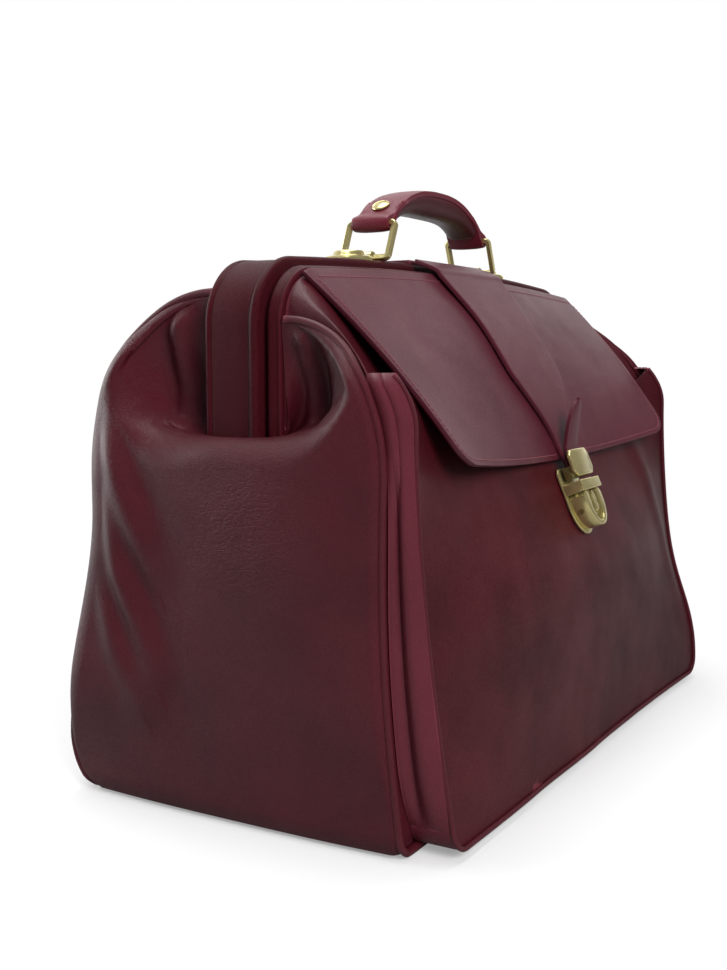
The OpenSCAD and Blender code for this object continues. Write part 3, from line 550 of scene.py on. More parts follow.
burgundy = ((80, 21, 32), (52, 13, 20), (128, 58, 74))
bodyLeather = leatherMaterial("bodyLeather", *burgundy, grain=1.5)
pocketLeather = leatherMaterial("pocketLeather", (78, 16, 25), (46, 10, 15), (124, 54, 66),
                                grain=1.5, mottle=1.3, gloss=0.2)
foldLeather = leatherMaterial("foldLeather", *burgundy, crinkle=1.0)
flapLeather = leatherMaterial("flapLeather", (86, 30, 43), (62, 22, 32), (114, 54, 68),
                              grain=1.3, mottle=0.9, wear=0.3, gloss=0.4)
cordLeather = leatherMaterial("cordLeather", (66, 12, 20), (44, 9, 15), (112, 46, 60), mottle=0.5)
# the gusset: the body's burgundy leather painted lighter and redder, as painted light standing for the front
# lamp falling on it
gussetLeatherPaintedLight = leatherMaterial("gussetLeatherPaintedLight", (97, 35, 46), (72, 25, 34), (134, 62, 76))
coverLeather = leatherMaterial("coverLeather", (64, 14, 22), (42, 9, 15), (108, 46, 60),
                               mottle=0.5, coat=0.0, gloss=0.12)
gripLeather = leatherMaterial("gripLeather", (108, 28, 44), (74, 18, 30), (140, 64, 80), mottle=0.5)
strapLeather = leatherMaterial("strapLeather", (86, 29, 42), (60, 20, 30), (126, 64, 78),
                               grain=1.3, mottle=0.5, wear=0.5, gloss=0.38)
edgeLeather = leatherMaterial("edgeLeather", (112, 26, 46), (76, 20, 32), (150, 72, 86),
                              grain=0.5, mottle=0.5)
liningCloth = leatherMaterial("liningCloth", (120, 96, 74), (84, 66, 50), (150, 126, 100),
                              grain=0.6, mottle=0.4, coat=0.0)
endLeather = leatherMaterial("endLeather", *burgundy, grain=1.5, crinkle=2.3,
                             patch=((0.0, -0.020, 0.172), 0.055), wear=0.0)
threadMaterial = leatherMaterial("thread", (112, 52, 62), (70, 28, 36), (150, 90, 96),
                                 grain=0.3, mottle=0.2)

# antique brass: random tarnish, painted shade darkening the hollows, bright where it is rubbed
brassGroup, given, made = newGroup("agedMetalPaintedShade", {
    "Bright": (0.5, 0.45, 0.2, 1), "Dark": (0.1, 0.09, 0.03, 1), "Age": 1.0,
})
tree = brassGroup
place = objectPlace(tree)
cloud = cloudNode(tree, place, 90.0, 3.0)["Fac"]
brush = addNode(tree, "ShaderNodeMapping", {"Vector": place, "Scale": (1.0, 1.0, 0.06)})
lines = cloudNode(tree, brush.outputs[0], 2600.0, 2.0)["Fac"]
curvature = addNode(tree, "ShaderNodeNewGeometry").outputs["Pointiness"]
tone = rangeNode(tree, cloud, 0.4, 0.75, 0.05, 0.5)
tone = mathNode(tree, "MULTIPLY", tone, given["Age"])
tone = mathNode(tree, "ADD", tone, rangeNode(tree, lines, 0.4, 0.7, 0.0, 0.1))
# painted shade: darker where the surface is concave, standing for the shade in the hollows
tone = mathNode(tree, "ADD", tone, rangeNode(tree, curvature, 0.49, 0.44, 0.0, 0.6))
tone = mathNode(tree, "SUBTRACT", tone, rangeNode(tree, curvature, 0.51, 0.57, 0.0, 0.4))
tone = mathNode(tree, "MINIMUM", mathNode(tree, "MAXIMUM", tone, 0.0), 1.0)
metal = mixColour(tree, tone, given["Bright"], given["Dark"])
shine = mathNode(tree, "MULTIPLY_ADD", tone, 0.2, 0.2)
fillNode(tree, made, {"Color": metal, "Roughness": shine, "Height": lines})


def metalMaterial(name, bright, dark, age=1.0):
    material, tree, shader = newMaterial(name)
    group = addNode(tree, "ShaderNodeGroup", node_tree=brassGroup)
    fillNode(tree, group, {"Bright": linear(*bright), "Dark": linear(*dark), "Age": age})
    surfaceFrom(tree, shader, group, bumpSize=0.00001, strength=0.6)
    shader.inputs["Metallic"].default_value = 0.8
    return material


brass = metalMaterial("antiqueBrass", (216, 203, 142), (96, 84, 44), 0.8)
brassDark = metalMaterial("antiqueBrassDark", (150, 138, 86), (66, 58, 32), 1.3)
steel = metalMaterial("barSteel", (186, 188, 190), (110, 112, 116), 0.6)
board = leatherMaterial("fibreBoard", (150, 116, 78), (116, 86, 56), (176, 144, 104),
                        grain=0.8, coat=0.0)
print("materials ready")


# wall and shoulder of one side, in one sheet
def bodyPoint(side):
    split = 0.5

    def place(u, v):
        u = math.sin(u * math.pi / 2)
        if v < split:
            z = mix(bag["wallZ"], shoulderAt(u), v / split)
            return (u * (bag["seamX"] - bag["insetX"] - toe(z)), side * wallY(z, side), z)
        return shoulderPoint(u, (v - split) / (1 - split) * math.pi / 2, side)
    return place


for side, name in ((-1, "front"), (1, "back")):
    piece = leatherSheet(name + "Body", 120, 84, bodyPoint(side), bag["leather"], bodyLeather, flip=side > 0)
    settleFolded(piece, side, "body_leather", name + "_wall", name + "_shoulder")
print("body sides made")

# ends, in a front half (-1) and a back half (1): panel, rolled lip, hollow with pleats, turned outer edge
end = {
    "columnSplit": 0.8, "panelShare": 0.46, "rollShare": 0.62, "thick": 1.5,
    "lowBulge": 4, "bulgePower": 2.6, "edgeIn": 0.5, "gap": {-1: 1.8, 1: 1.0}, "riseFrom": 15, "riseOver": 70,
    "lowRound": 3, "frontRound": 6.5, "backRound": 15, "cornerRound": 10, "cornerZ": (190, 45), "roundZ": 240,
    "cornerTurn": {-1: 98, 1: 104}, "rollMid": 12, "rollSide": {-1: 17, 1: 23}, "rollCorner": 9,
    "turnMid": 140, "turnSide": 80, "turnCorner": 10, "legX": 216, "legUp": 0.14, "softReach": 34,
    "depth": {-1: 9, 1: 3}, "drop": {-1: 4, 1: 5.5},
    "pleats": {-1: ((13, 5, 4.5), (33, 7, 3.5), (23, 5, -2.5)), 1: ((24, 7.5, 9.5), (8, 5, -2.0))},
}
# drawn folds on the back half of each end: path in y and z, half width and height
streakReach = {"above": 20, "below": 30, "hollow": 0.4, "hollowAt": 2}
streaks = [
    {"path": [(84, 236), (75.5, 206.8), (68.6, 187.7), (60, 168), (50, 146)], "wide": 8.5, "high": 6.2},
    {"path": [(79, 184), (75, 162), (70, 140), (60.2, 113.9), (50, 84)], "wide": 6.5, "high": 5.3},
    {"path": [(90, 138), (80.5, 114.7), (73.5, 91.3), (63, 68)], "wide": 7, "high": 3.8},
    {"path": [(52, 92), (54, 66), (60, 40)], "wide": 13, "high": 1.6},
]


def streakHeight(y, z):
    total = 0
    for streak in streaks:
        path = streak["path"]
        if not path[-1][1] - streakReach["below"] < z < path[0][1] + streakReach["above"]:
            continue
        best = None
        for i, (a, b) in enumerate(zip(path, path[1:])):
            dy, dz = b[0] - a[0], b[1] - a[1]
            t = max(0, min(1, ((y - a[0]) * dy + (z - a[1]) * dz) / (dy * dy + dz * dz)))
            ey, ez = y - a[0] - t * dy, z - a[1] - t * dz
            far = math.hypot(ey, ez)
            if best is None or far < best[0]:
                best = (far, math.copysign(far, ey * -dz + ez * dy), (i + t) / (len(path) - 1))
        far, offset, along = best
        fade = math.sin(math.pi * min(1, max(0, 0.08 + 0.84 * along))) ** 0.8
        wide = streak["wide"] * (0.8 + 0.5 * along)
        crest = math.exp(-(offset / wide) ** 2)
        hollow = math.exp(-((offset + streakReach["hollowAt"] * wide) / wide) ** 2)
        total += streak["high"] * fade * (crest - streakReach["hollow"] * hollow)
    return total


def edgeRise(z):
    return ease((z - end["riseFrom"]) / end["riseOver"])


def edgeX(z, side):
    return bag["seamX"] - toe(z) - end["edgeIn"] * (1 if side < 0 else 1 - edgeRise(z))


def edgeRound(z, side):
    top = ease((z - end["cornerZ"][0]) / end["cornerZ"][1])
    full = end["frontRound"] if side < 0 else mix(end["backRound"], end["cornerRound"], top)
    return mix(end["lowRound"], full, edgeRise(z))


def panelX(side, a, z):
    rim = edgeX(z, side) + edgeRound(z, side)
    bulge = mix(end["lowBulge"], bag["endBulge"], ease(z / bag["shoulderZ"]))
    middle = bag["seamX"] + bag["insetX"] - toe(z) + bulge
    return rim + (middle - rim) * (1 - a ** end["bulgePower"])


def panelY(side, a, z):
    return side * a * (seamY(z, side) - end["gap"][side] - edgeRound(z, side))


def rollRadius(side, a):
    wide = end["rollSide"][side]
    return mix(mix(end["rollMid"], wide, ease(a / 0.6)), end["rollCorner"], ease((a - 0.6) / 0.4))


def rollTurn(a):
    return mix(mix(end["turnMid"], end["turnSide"], ease(a / 0.5)), end["turnCorner"], ease((a - 0.5) / 0.5))


def lipPoint(side, a, turn):
    r = rollRadius(side, a)
    z0 = lipAt(a) - r
    b = math.radians(turn)
    z = z0 + r * math.sin(b)
    return Vector((panelX(side, a, z0) - r + r * math.cos(b), panelY(side, a, z), z))


def rimEdge(side, u):
    n = shoulderRound(1, side)
    low = lipPoint(side, 1, end["turnCorner"]).z
    t = (low - bag["shoulderZ"]) / (seatZ(side) - bag["shoulderZ"])
    a0 = math.asin(t ** (n / 2))
    a = mix(a0, math.pi / 2, min(1, max(0, u)))
    p = shoulderPoint(1, a, side)
    q = shoulderPoint(1, a - 0.01, side)
    out = Vector((0, side * abs(p.z - q.z), abs(p.y - q.y))).normalized()
    out = Vector((0, side, 0)).lerp(out, ease(u / 0.3)).normalized()
    p.x = mix(edgeX(low, side), p.x + bag["trim"], ease(u / 0.5))
    return p - out * end["gap"][side], out


def rimPoint(side, u, turn):
    edge, out = rimEdge(side, u)
    r = mix(edgeRound(end["roundZ"], side), 1.0, ease((u - 0.12) / 0.88))
    b = math.radians(turn)
    return edge - out * r + Vector((r * math.cos(b), 0, 0)) + out * (r * math.sin(b))


def legPoint(side, a):
    z = mix(bag["hingeZ"] + 1, seatZ(side) - 1, a ** 0.8)
    return Vector((end["legX"], side * mix(0, seatY(side) + 0.3, min(1, a / end["legUp"])), z))


def hollowAt(side, a, u):
    b = math.radians(rollTurn(a))
    lip, lipCorner = lipPoint(side, a, rollTurn(a)), lipPoint(side, 1, end["turnCorner"])
    leg, legTop = legPoint(side, a), legPoint(side, 1)
    p = lip.lerp(leg, u) + (rimPoint(side, u, 0) - lipCorner.lerp(legTop, u)) * a
    rimStart = (rimPoint(side, 0.02, 0) - rimPoint(side, 0, 0)) / 0.02
    slope = leg - lip + (rimStart - legTop + lipCorner) * a
    wanted = Vector((-math.sin(b), 0, math.cos(b))) * mix((leg - lip).length * 0.9, rimStart.length, a)
    p += (wanted - slope) * (u * (1 - u) ** 2)
    p.x -= end["depth"][side] * math.sin(math.pi * u) * (4 * a * (1 - a)) ** 0.8
    keep = ease((1 - a) / 0.14) * ease(u / 0.15) * ease((1 - u) / 0.06)
    inner = ease((1 - a) / 0.2) * ease(u / 0.3) * ease((1 - u) / 0.3) * ease(a / 0.3)
    p.x -= end["drop"][side] * inner
    fromLeg = side * p.y - seatY(side)
    for centre, width, high in end["pleats"][side]:
        p.x += keep * high * bump(fromLeg, centre, width)
    p.x += swell(p.y, p.z, 3 * side, 0.6) * keep
    return p


def endPoint(side, dirX):
    share, roll = end["panelShare"], end["rollShare"]

    def place(u, v):
        c = (u + 1) / 2
        edge = max(0, (c - end["columnSplit"]) / (1 - end["columnSplit"]))
        a = min(1, c / end["columnSplit"])
        turn = edge * end["cornerTurn"][side]
        if v < share:
            z = mix(bag["wallZ"], lipAt(a) - rollRadius(side, a), v / share)
        if edge and v < roll:
            z = z if v < share else lipPoint(side, 1, end["turnCorner"] * (v - share) / (roll - share)).z
            r = edgeRound(z, side)
            b = math.radians(turn)
            p = Vector((edgeX(z, side) + r * math.cos(b), panelY(side, 1, z) + side * r * math.sin(b), z))
        elif edge:
            p = rimPoint(side, (v - roll) / (1 - roll), turn)
        elif v < share:
            y = panelY(side, a, z)
            lift = ease(z / 30) * (1 - a ** 8)
            p = Vector((panelX(side, a, z) + lift * swell(y, z, 5 * dirX), y, z))
            p.x += streakHeight(y, z) * (1 - a ** 10) if side > 0 else 0
        elif v < roll:
            p = lipPoint(side, a, rollTurn(a) * (v - share) / (roll - share))
            y, fade = p.y, 1 - ease((v - share) / (roll - share))
            p.x += fade * (1 - a ** 8) * swell(y, p.z, 5 * dirX)
            p.x += fade * streakHeight(y, p.z) * (1 - a ** 10) if side > 0 else 0
        else:
            p = hollowAt(side, a, (v - roll) / (1 - roll))
        return (dirX * p.x, p.y, p.z)
    return place


def cornerSoft(side):
    corner = lipPoint(side, 1, end["turnCorner"])

    def weight(u, v, point):
        far = (Vector((abs(point.x), point.y, point.z)) - corner).length
        return ease(1 - far / end["softReach"]) * ease((0.97 - (u + 1) / 2) / 0.1)
    return weight


# the stitched strip of each end along the jaw
tape = {"wide": 5.85, "from": 0.04, "to": 0.99, "proud": 1.0, "thick": 1.2, "rim": 0.35}


def tapePoint(side, dirX):
    def place(u, v):
        a = mix(tape["from"], tape["to"], v)
        reach = max(20, (legPoint(side, a) - lipPoint(side, a, rollTurn(a))).length)
        p = hollowAt(side, a, 1 - 0.5 * (1 - u) * tape["wide"] / reach)
        return (dirX * (p.x + tape["proud"]), p.y, p.z)
    return place


for dirX, endName in ((-1, "left"), (1, "right")):
    for side, sideName in ((-1, "Front"), (1, "Back")):
        flip = dirX * side > 0
        piece = leatherSheet(endName + "End" + sideName, 92, 190, endPoint(side, dirX), end["thick"],
                             endLeather, flip=flip, soften=cornerSoft(side))
        settleFolded(piece, side, "body_leather", "end_" + endName, sideName.lower() + "_fold_" + endName)
        strip = tapePoint(side, dirX)
        piece = leatherSheet(endName + "Tape" + sideName, 8, 60, strip, tape["thick"], foldLeather,
                             flip=flip, rim=tape["rim"])
        settle(piece, jawBody[side], "body_leather")
        track = [(0.1, k / 40) for k in range(2, 39)]
        stitchLine(endName + "TapeStitches" + sideName, strip, track, jawBody[side], flip)
print("ends made")

# the piping of each side seam, up both ends and along the floor
piping = {
    "radius": 2.5, "floorRound": 9, "out": {-1: 1.1, 1: 1.9}, "aside": {-1: 1.4, 1: -2.6}, "asideFoot": 1.4,
    "floorOut": 0.5, "off": 0.6, "floorX": (-180, -120, -60, 0, 60, 120, 180), "knots": 420,
    "edge": (0.98, 0.88, 0.76, 0.64, 0.52, 0.4, 0.28, 0.16, 0.04),
    "seamZ": (225, 205, 182, 158, 134, 110, 86, 66, 48, 32, 20),
}


def pipingPath(side):
    low = piping["radius"] + piping["off"]
    half = []
    for t in piping["edge"]:
        edge, out = rimEdge(side, t)
        aside = mix(piping["aside"][side], piping["asideFoot"], ease(t))
        half.append(edge + out * piping["out"][side] + Vector((aside, 0, 0)))
    for z in (*piping["seamZ"], low + piping["floorRound"]):
        aside = mix(piping["asideFoot"], piping["aside"][side], edgeRise(z))
        y = seamY(z, side) - end["gap"][side] + piping["out"][side]
        half.append(Vector((edgeX(z, side) + aside, side * y, z)))
    floorY = side * (wallY(low, side) + piping["radius"] + piping["floorOut"])
    foot = half[-1]
    for a in (0.5, 1.05, math.pi / 2):
        turnIn = piping["floorRound"] * (1 - math.cos(a))
        turnUp = piping["floorRound"] * (1 - math.sin(a))
        half.append(Vector((foot.x - turnIn, mix(foot.y, floorY, a / (math.pi / 2)), low + turnUp)))
    left = [Vector((-p.x, p.y, p.z)) for p in half]
    middle = [Vector((x, floorY, low)) for x in piping["floorX"]]
    return smoothPath(left + middle + half[::-1], piping["knots"])


for side, name in ((-1, "front"), (1, "back")):
    piece = cordPiece(name + "Piping", pipingPath(side), piping["radius"], cordLeather)
    settleFolded(piece, side, "dark_leather", name + "_piping", name + "_top_piping")
print("piping made")

# the pocket over the front, its box-shaped gusset and its thin piping
pocket = {
    "x": 218, "y": 133, "sideY": 106, "flare": 26, "lean": 0.44, "leanZ": 122.5, "leanRound": 20,
    "mouth": 232, "top": 253, "corner": 11, "low": 5.4, "straight": 225, "box": 150, "topIn": 12.5,
    "rightBulge": 11, "bulgeZ": (38, 48), "ridge": 2.4, "ridgeX": (206, 150), "ridgeZ": (60, 210),
    "ridgeWide": 13, "pipe": 1.5, "pipeOut": 0.6, "pipeProud": 0.7, "pipeLow": 1.9, "pipeKnots": 400,
}
gusset = {
    "low": 2.5, "gap": 0.5, "proud": 0.3, "least": 3, "in": 1.6, "foot": 8, "face": 0.5, "bow": 2.4,
    "lowGroove": 5, "topGroove": 1.8, "grooveZ": (165, 225), "tuck": 3, "tuckFrom": 6, "thick": 1.5,
}


def pocketMidY(z):
    h = z - pocket["leanZ"]
    return pocket["y"] - pocket["lean"] * (h + math.sqrt(h * h + pocket["leanRound"] ** 2)) / 2


def pocketEdgeY(z, right):
    straight = pocket["straight"]
    y = pocket["sideY"] + pocket["flare"] * max(0, 1 - z / straight) ** 1.7
    y -= pocket["topIn"] * (max(0, z - straight) / (pocket["top"] - straight)) ** 2
    return y + (pocket["rightBulge"] * bump(z, *pocket["bulgeZ"]) if right else 0)


def pocketY(x, z):
    power = mix(2.4, 6, ease((z - pocket["box"]) / (pocket["straight"] - pocket["box"])))
    w = 1 - min(1, abs(x) / pocket["x"]) ** power
    low, high = pocket["ridgeZ"]
    middle = mix(*pocket["ridgeX"], (z - low) / (high - low))
    ridge = pocket["ridge"] * bump(x, middle, pocket["ridgeWide"]) * ease((z - 40) / 60)
    ridge *= ease((pocket["straight"] - z) / 40)
    return mix(pocketEdgeY(z, x > 0), pocketMidY(z), w) + ridge + swell(x, z, 31, 0.8) * min(1, w * 1.5)


def pocketHalf(z, inset):
    r = pocket["corner"]
    d = max(0, pocket["low"] + r - z)
    return pocket["x"] - inset - r + math.sqrt(max(0, r * r - d * d))


def pocketPoint(u, v):
    v = 1 - (1 - v) ** 1.3
    u = math.sin(u * math.pi / 2)
    z = mix(pocket["low"], mix(pocket["mouth"], pocket["top"], abs(u) ** 6), v)
    x = u * pocketHalf(z, 0.4)
    return (x, -pocketY(x, z), z)


piece = leatherSheet("pocketFront", 130, 90, pocketPoint, bag["leather"], pocketLeather, rim=0.7)
settle(piece, "body", "body_leather", "pocket_front")


# the pocket's outline, from one upper corner at k = -1 along the floor to the other at 1
def rimAt(k, out):
    r, side, t = pocket["corner"], (-1 if k < 0 else 1), abs(k)
    if t > 0.5:
        return side * (pocket["x"] + out), mix(pocket["low"] + r, pocket["top"], ease((t - 0.5) * 2))
    if t > 0.3:
        a = (t - 0.3) / 0.2 * math.pi / 2
        return side * (pocket["x"] - r + (r + out) * math.sin(a)), pocket["low"] + r - (r + out) * math.cos(a)
    return side * (pocket["x"] - r) * t / 0.3, pocket["low"] - out


def gussetPoint(k, v):
    x, z = rimAt(k, 0)
    z = max(z, gusset["low"])
    back = seamY(z, -1) + gusset["gap"]
    face = pocketY(rimAt(k, -gusset["in"])[0], z) + gusset["proud"]
    face = max(face, back + gusset["least"])
    up = ease((abs(k) - 0.5) / 0.12)
    low, high = gusset["grooveZ"]
    upper = ease((z - low) / (high - low))
    spread = mix(gusset["foot"], gusset["face"], v ** 1.3) + gusset["bow"] * math.sin(math.pi * v)
    groove = mix(gusset["lowGroove"] * bump(v, 0.3, 0.2), gusset["topGroove"] * bump(v, 0.5, 0.1), upper)
    pleat = up * (spread - groove + swell(v * 30, z, 41, 0.5))
    above = z - pocket["top"] + gusset["tuckFrom"]
    if above > 0:
        pleat -= gusset["tuck"] * (above / gusset["tuckFrom"]) ** 2
    return (x + (1 if k > 0 else -1) * pleat, -mix(back, face, v), z)


# the gusset wears the leather painted lighter as painted light from the front lamp
piece = leatherSheet("pocketGusset", 260, 26, gussetPoint, gusset["thick"], gussetLeatherPaintedLight, flip=True)
settle(piece, "body", "body_leather", "pocket_gusset")

pipe = []
for i in range(241):
    x, z = rimAt(i / 120 - 1, pocket["pipeOut"])
    pipe.append((x, -(pocketY(x, z) + pocket["pipeProud"]), max(z, pocket["pipeLow"])))
piece = cordPiece("pocketPiping", evenPath(pipe, pocket["pipeKnots"]), pocket["pipe"], cordLeather)
settle(piece, "body", "dark_leather", "pocket_piping")
for side, sideName in ((-1, "Left"), (1, "Right")):
    hem = [(side * 0.965, k / 12) for k in range(1, 12)]
    stitchLine("gussetStitches" + sideName, gussetPoint, hem, "body", True)
print("pocket made")

# leather covers of the two jaws, each one closed section carried round the arch
cover = {"round": 3, "flat": 0.66, "turned": 0.8, "columns": 260}


def coverZ(x, out):
    r = bag["cornerR"] + cover["round"] + out
    d = max(0, abs(x) - (bag["frameX"] - bag["cornerR"] - cover["round"]))
    return bag["crownZ"] + out - x * x / (2 * bag["crownR"]) - (r - math.sqrt(max(0, r * r - d * d)))


def archPoint(t, out):
    side, t = (-1 if t < 0 else 1), abs(t)
    cx = bag["frameX"] - bag["cornerR"] - cover["round"]
    r = bag["cornerR"] + cover["round"] + out
    flat, turned = cover["flat"], cover["turned"]
    if t <= flat:
        x = cx * t / flat
    elif t <= turned:
        x = cx + r * math.sin((t - flat) / (turned - flat) * math.pi / 2)
    else:
        x = cx + r
        return side * x, mix(coverZ(x, out), bag["legLowZ"], (t - turned) / (1 - turned))
    return side * x, coverZ(x, out)


def coverPiece(name, profile):
    count = len(profile)

    def place(u, v):
        y, out = profile[int(round(v * count)) % count]
        x, z = archPoint(u, out)
        return (x, y, z)
    piece = shapedGrid(cover["columns"], count, place, closeAround=True)
    only(piece)
    bpy.ops.object.mode_set(mode="EDIT")
    bpy.ops.mesh.select_all(action="DESELECT")
    bpy.ops.mesh.select_non_manifold()
    bpy.ops.mesh.fill_holes(sides=0)
    bpy.ops.object.mode_set(mode="OBJECT")
    faceOut(piece)
    return finishPiece(piece, name, coverLeather, 40)


def roundRun(cy, co, r, a0, a1, steps):
    turns = [math.radians(mix(a0, a1, k / steps)) for k in range(steps + 1)]
    return [(cy + r * math.cos(a), co + r * math.sin(a)) for a in turns]


# section in y and height over the arch: hem, flat top, bead at the parting
backProfile = [(20.6, -8.0), (20.6, -0.6), (20.4, 0.4), (19.8, 1.0), (19.0, 1.15), (18.0, 1.0), (17.3, 0.5),
               (16.8, 0.15), (16.2, 0.35), (15.0, 0.5), (8.0, 0.55), (0.0, 0.5), (-6.0, 0.4), (-8.4, 0.0)]
backProfile += roundRun(-11.7, -0.6, 2.9, 15, 190, 10)
backProfile += [(-14.7, -4.0), (-14.6, -12.0), (-13.6, -12.6), (19.6, -12.6), (20.5, -12.0)]
piece = coverPiece("backCover", backProfile)
settle(piece, "back_frame", "dark_leather", "back_cover")
frontProfile = [(-26.0, -12.0), (-26.2, -6.5), (-26.0, -5.2), (-25.4, -4.4), (-24.4, -4.2), (-23.6, -4.5),
                (-23.0, -4.3), (-22.0, -3.8), (-20.6, -3.4)]
frontProfile += roundRun(-19.6, -5.6, 2.3, 90, 0, 6)
frontProfile += [(-17.3, -12.0), (-18.0, -12.6), (-25.2, -12.6)]
piece = coverPiece("frontCover", frontProfile)
settle(piece, "front_frame", "dark_leather", "front_cover")
print("frame covers made")

# the flap, a bent sheet from the front jaw down over the pocket
flap = {
    "topX": 203, "lowX": 184, "thick": 2.2, "lowZ": 194, "gap": 1.8, "off": 0.6, "midY": 82, "midZ": 259,
    "midIn": 1.5, "lowY": 102, "flare": 16, "lift": 10, "lining": 0.9, "liningIn": 0.9, "skin": 1.0,
    "long": 165, "corner": 17, "seam": 4.2, "sag": 0.9,
}


def flapCurve(u, t):
    a = Vector((-(bag["seatFront"] + flap["off"]), outlineZ(u * flap["topX"], bag["seatOff"]) + flap["gap"]))
    b = Vector((-(flap["midY"] - flap["midIn"] * u * u), flap["midZ"]))
    c = Vector((-(flap["lowY"] + flap["flare"] * u * u), flap["lowZ"] + flap["lift"] * u * u))
    return bend(a, b, c, t)


def flapNormal(u, t):
    d = flapCurve(u, t + 0.01) - flapCurve(u, t - 0.01)
    return Vector((d.y, -d.x)).normalized()


def flapPoint(off, inset=0.0):
    long = flap["long"]
    r = flap["corner"] - inset

    def place(u, v):
        t = (1 - inset / long) * (1 - max(0, v) ** 1.4) + 0.02 * inset / long
        half = mix(flap["topX"], flap["lowX"], t)
        d = min(r, max(0, t * long - (long - inset - r)))
        x = u * (half - inset - r + math.sqrt(r * r - d * d))
        p = flapCurve(x / half, t) + off * flapNormal(x / half, t)
        sag = swell(x, t * 160, 51, flap["sag"]) * math.sin(math.pi * min(1, t * 1.1)) ** 2
        sag *= 1 - abs(x / half) ** 4
        return (x, p.x - sag * 0.5, p.y + sag * 0.8)
    return place


def flapBorder(reach=0.96):
    down = [(-1, reach * (1 - k / 60)) for k in range(60)]
    along = [(-1 + 2 * k / 90, 0) for k in range(91)]
    return down + along + [(1, v) for _, v in down[::-1]]


flapOut = flap["skin"] + flap["thick"]
piece = leatherSheet("flapTop", 150, 90, flapPoint(flapOut), flap["thick"], flapLeather, rim=0.7)
settle(piece, "flap", "body_leather", "flap_leather")
lining = flapPoint(flap["lining"], flap["liningIn"])
piece = leatherSheet("flapUnder", 120, 70, lining, flap["lining"], edgeLeather, rim=0.3)
settle(piece, "flap", "body_leather", "flap_lining")
seam = flapPoint(flapOut, flap["seam"])
stitchLine("flapStitches", seam, flapBorder(), "flap")
top = [(-0.99 + 1.98 * k / 120, 0.965) for k in range(121)]
stitchLine("flapTopStitches", seam, top, "flap")
print("flap made")

# the lock's place on the leaning pocket front, and the strap that lies over the flap and ends in the hasp
lock = {"y": -111.911, "z": 170, "lean": math.radians(22.6849), "haspLow": 10.5, "haspHigh": 29}
strap = {
    "topX": 50, "midX": 42, "endX": 10, "thick": 3.5, "endThick": 2.4, "hingeY": -16.9, "hingeZ": 325.05,
    "tip": 235.5, "out": 5.5, "skin": 3.0, "steps": 90, "off": 0.5, "rootOff": 1.2, "inLock": 0.96,
    "anchorY": (-13.4, 17.1), "anchorUp": 4.3, "anchorThick": 2.9,
    "backOff": 0.5, "lockUp": (9, 2), "narrow": 0.56, "thin": 0.75,
    "knots": (-1, 0, 0.04, 0.12, 0.22, 0.32, 0.42, 0.52, 0.6, 0.68, 0.76, 0.82, 0.88, 0.93, 0.96, 1),
}
tab = {
    "bend": 0.36, "round": 0.72, "crown": 0.8, "gap": 0.8, "lowUp": 2, "bendUp": 1, "overUp": 6, "tipOut": 4,
}
tabOut = strap["out"] + strap["endThick"] + tab["gap"]


def inLock(x, out, up):
    s, c = math.sin(lock["lean"]), math.cos(lock["lean"])
    return Vector((x, lock["y"] - out * c + up * s, lock["z"] + out * s + up * c))


def strapHalf(t):
    wide = mix(strap["topX"], strap["midX"], ease(t / 0.35))
    return mix(wide, strap["endX"], ease((t - strap["narrow"]) / (1 - strap["narrow"])) ** 0.85)


def strapBack(u, t):
    off = flapOut + strap["off"]
    if t < 0:
        y = strap["hingeY"] - strap["backOff"]
        return Vector((u * strapHalf(0), y, strap["hingeZ"] - strap["thick"] / 2))
    if t < strap["inLock"]:
        p = flapCurve(0, t) + (off + strap["rootOff"] * (1 - t) ** 6) * flapNormal(0, t)
        return Vector((u * strapHalf(t), p.x, p.y))
    up = lock["haspLow"] + mix(*strap["lockUp"], (t - strap["inLock"]) / (1 - strap["inLock"]))
    return inLock(u * strap["endX"], strap["out"], up)


lockNormal = Vector((0, -math.cos(lock["lean"]), math.sin(lock["lean"])))


def strapNormal(t):
    if t < 0:
        return Vector((0, 0, 1))
    if t < strap["inLock"]:
        n = flapNormal(0, t)
        return Vector((0, n.x, n.y))
    return lockNormal


def strapFace(u):
    face = []
    for t in strap["knots"]:
        thin = ease((t - strap["thin"]) / (1 - strap["thin"]))
        thick = mix(strap["thick"], strap["endThick"], thin)
        face.append(strapBack(u, t) + strapNormal(t) * thick)
    return smoothPath(face, strap["steps"] + 1)


strapMid, strapEdge = strapFace(0), strapFace(1)


def strapPoint(u, v):
    i = int(round((1 - v) * strap["steps"]))
    return (u * strapEdge[i].x, strapMid[i].y, strapMid[i].z)


piece = leatherSheet("strap", 30, strap["steps"], strapPoint, strap["skin"], strapLeather, rim=0.8)
settle(piece, "strap", "strap_leather", "strap_leather")


def tabBack(t):
    low = inLock(0, tabOut, lock["haspLow"] + tab["lowUp"])
    out = inLock(0, tabOut, lock["haspHigh"] + tab["bendUp"])
    if t < tab["bend"]:
        return low.lerp(out, t / tab["bend"])
    over = inLock(0, tabOut, lock["haspHigh"] + tab["overUp"])
    tip = Vector((0, out.y - tab["tipOut"], strap["tip"]))
    return bend(out, over, tip, (t - tab["bend"]) / (1 - tab["bend"]))


def tabPoint(u, v):
    past = max(0, (v - tab["round"]) / (1 - tab["round"]))
    half = strap["endX"] * math.sqrt(max(0.002, 1 - past ** 2))
    n = lockNormal.lerp(Vector((0, -1, 0)), ease((v - 0.34) / 0.3))
    p = tabBack(v) + n * (strap["endThick"] + tab["crown"] * (1 - u * u) * ease((v - 0.4) / 0.2))
    return (p.x + u * half, p.y, p.z)


piece = leatherSheet("strapTab", 14, 60, tabPoint, strap["endThick"], strapLeather, rim=0.5)
settle(piece, "strap", "strap_leather", "strap_tab")


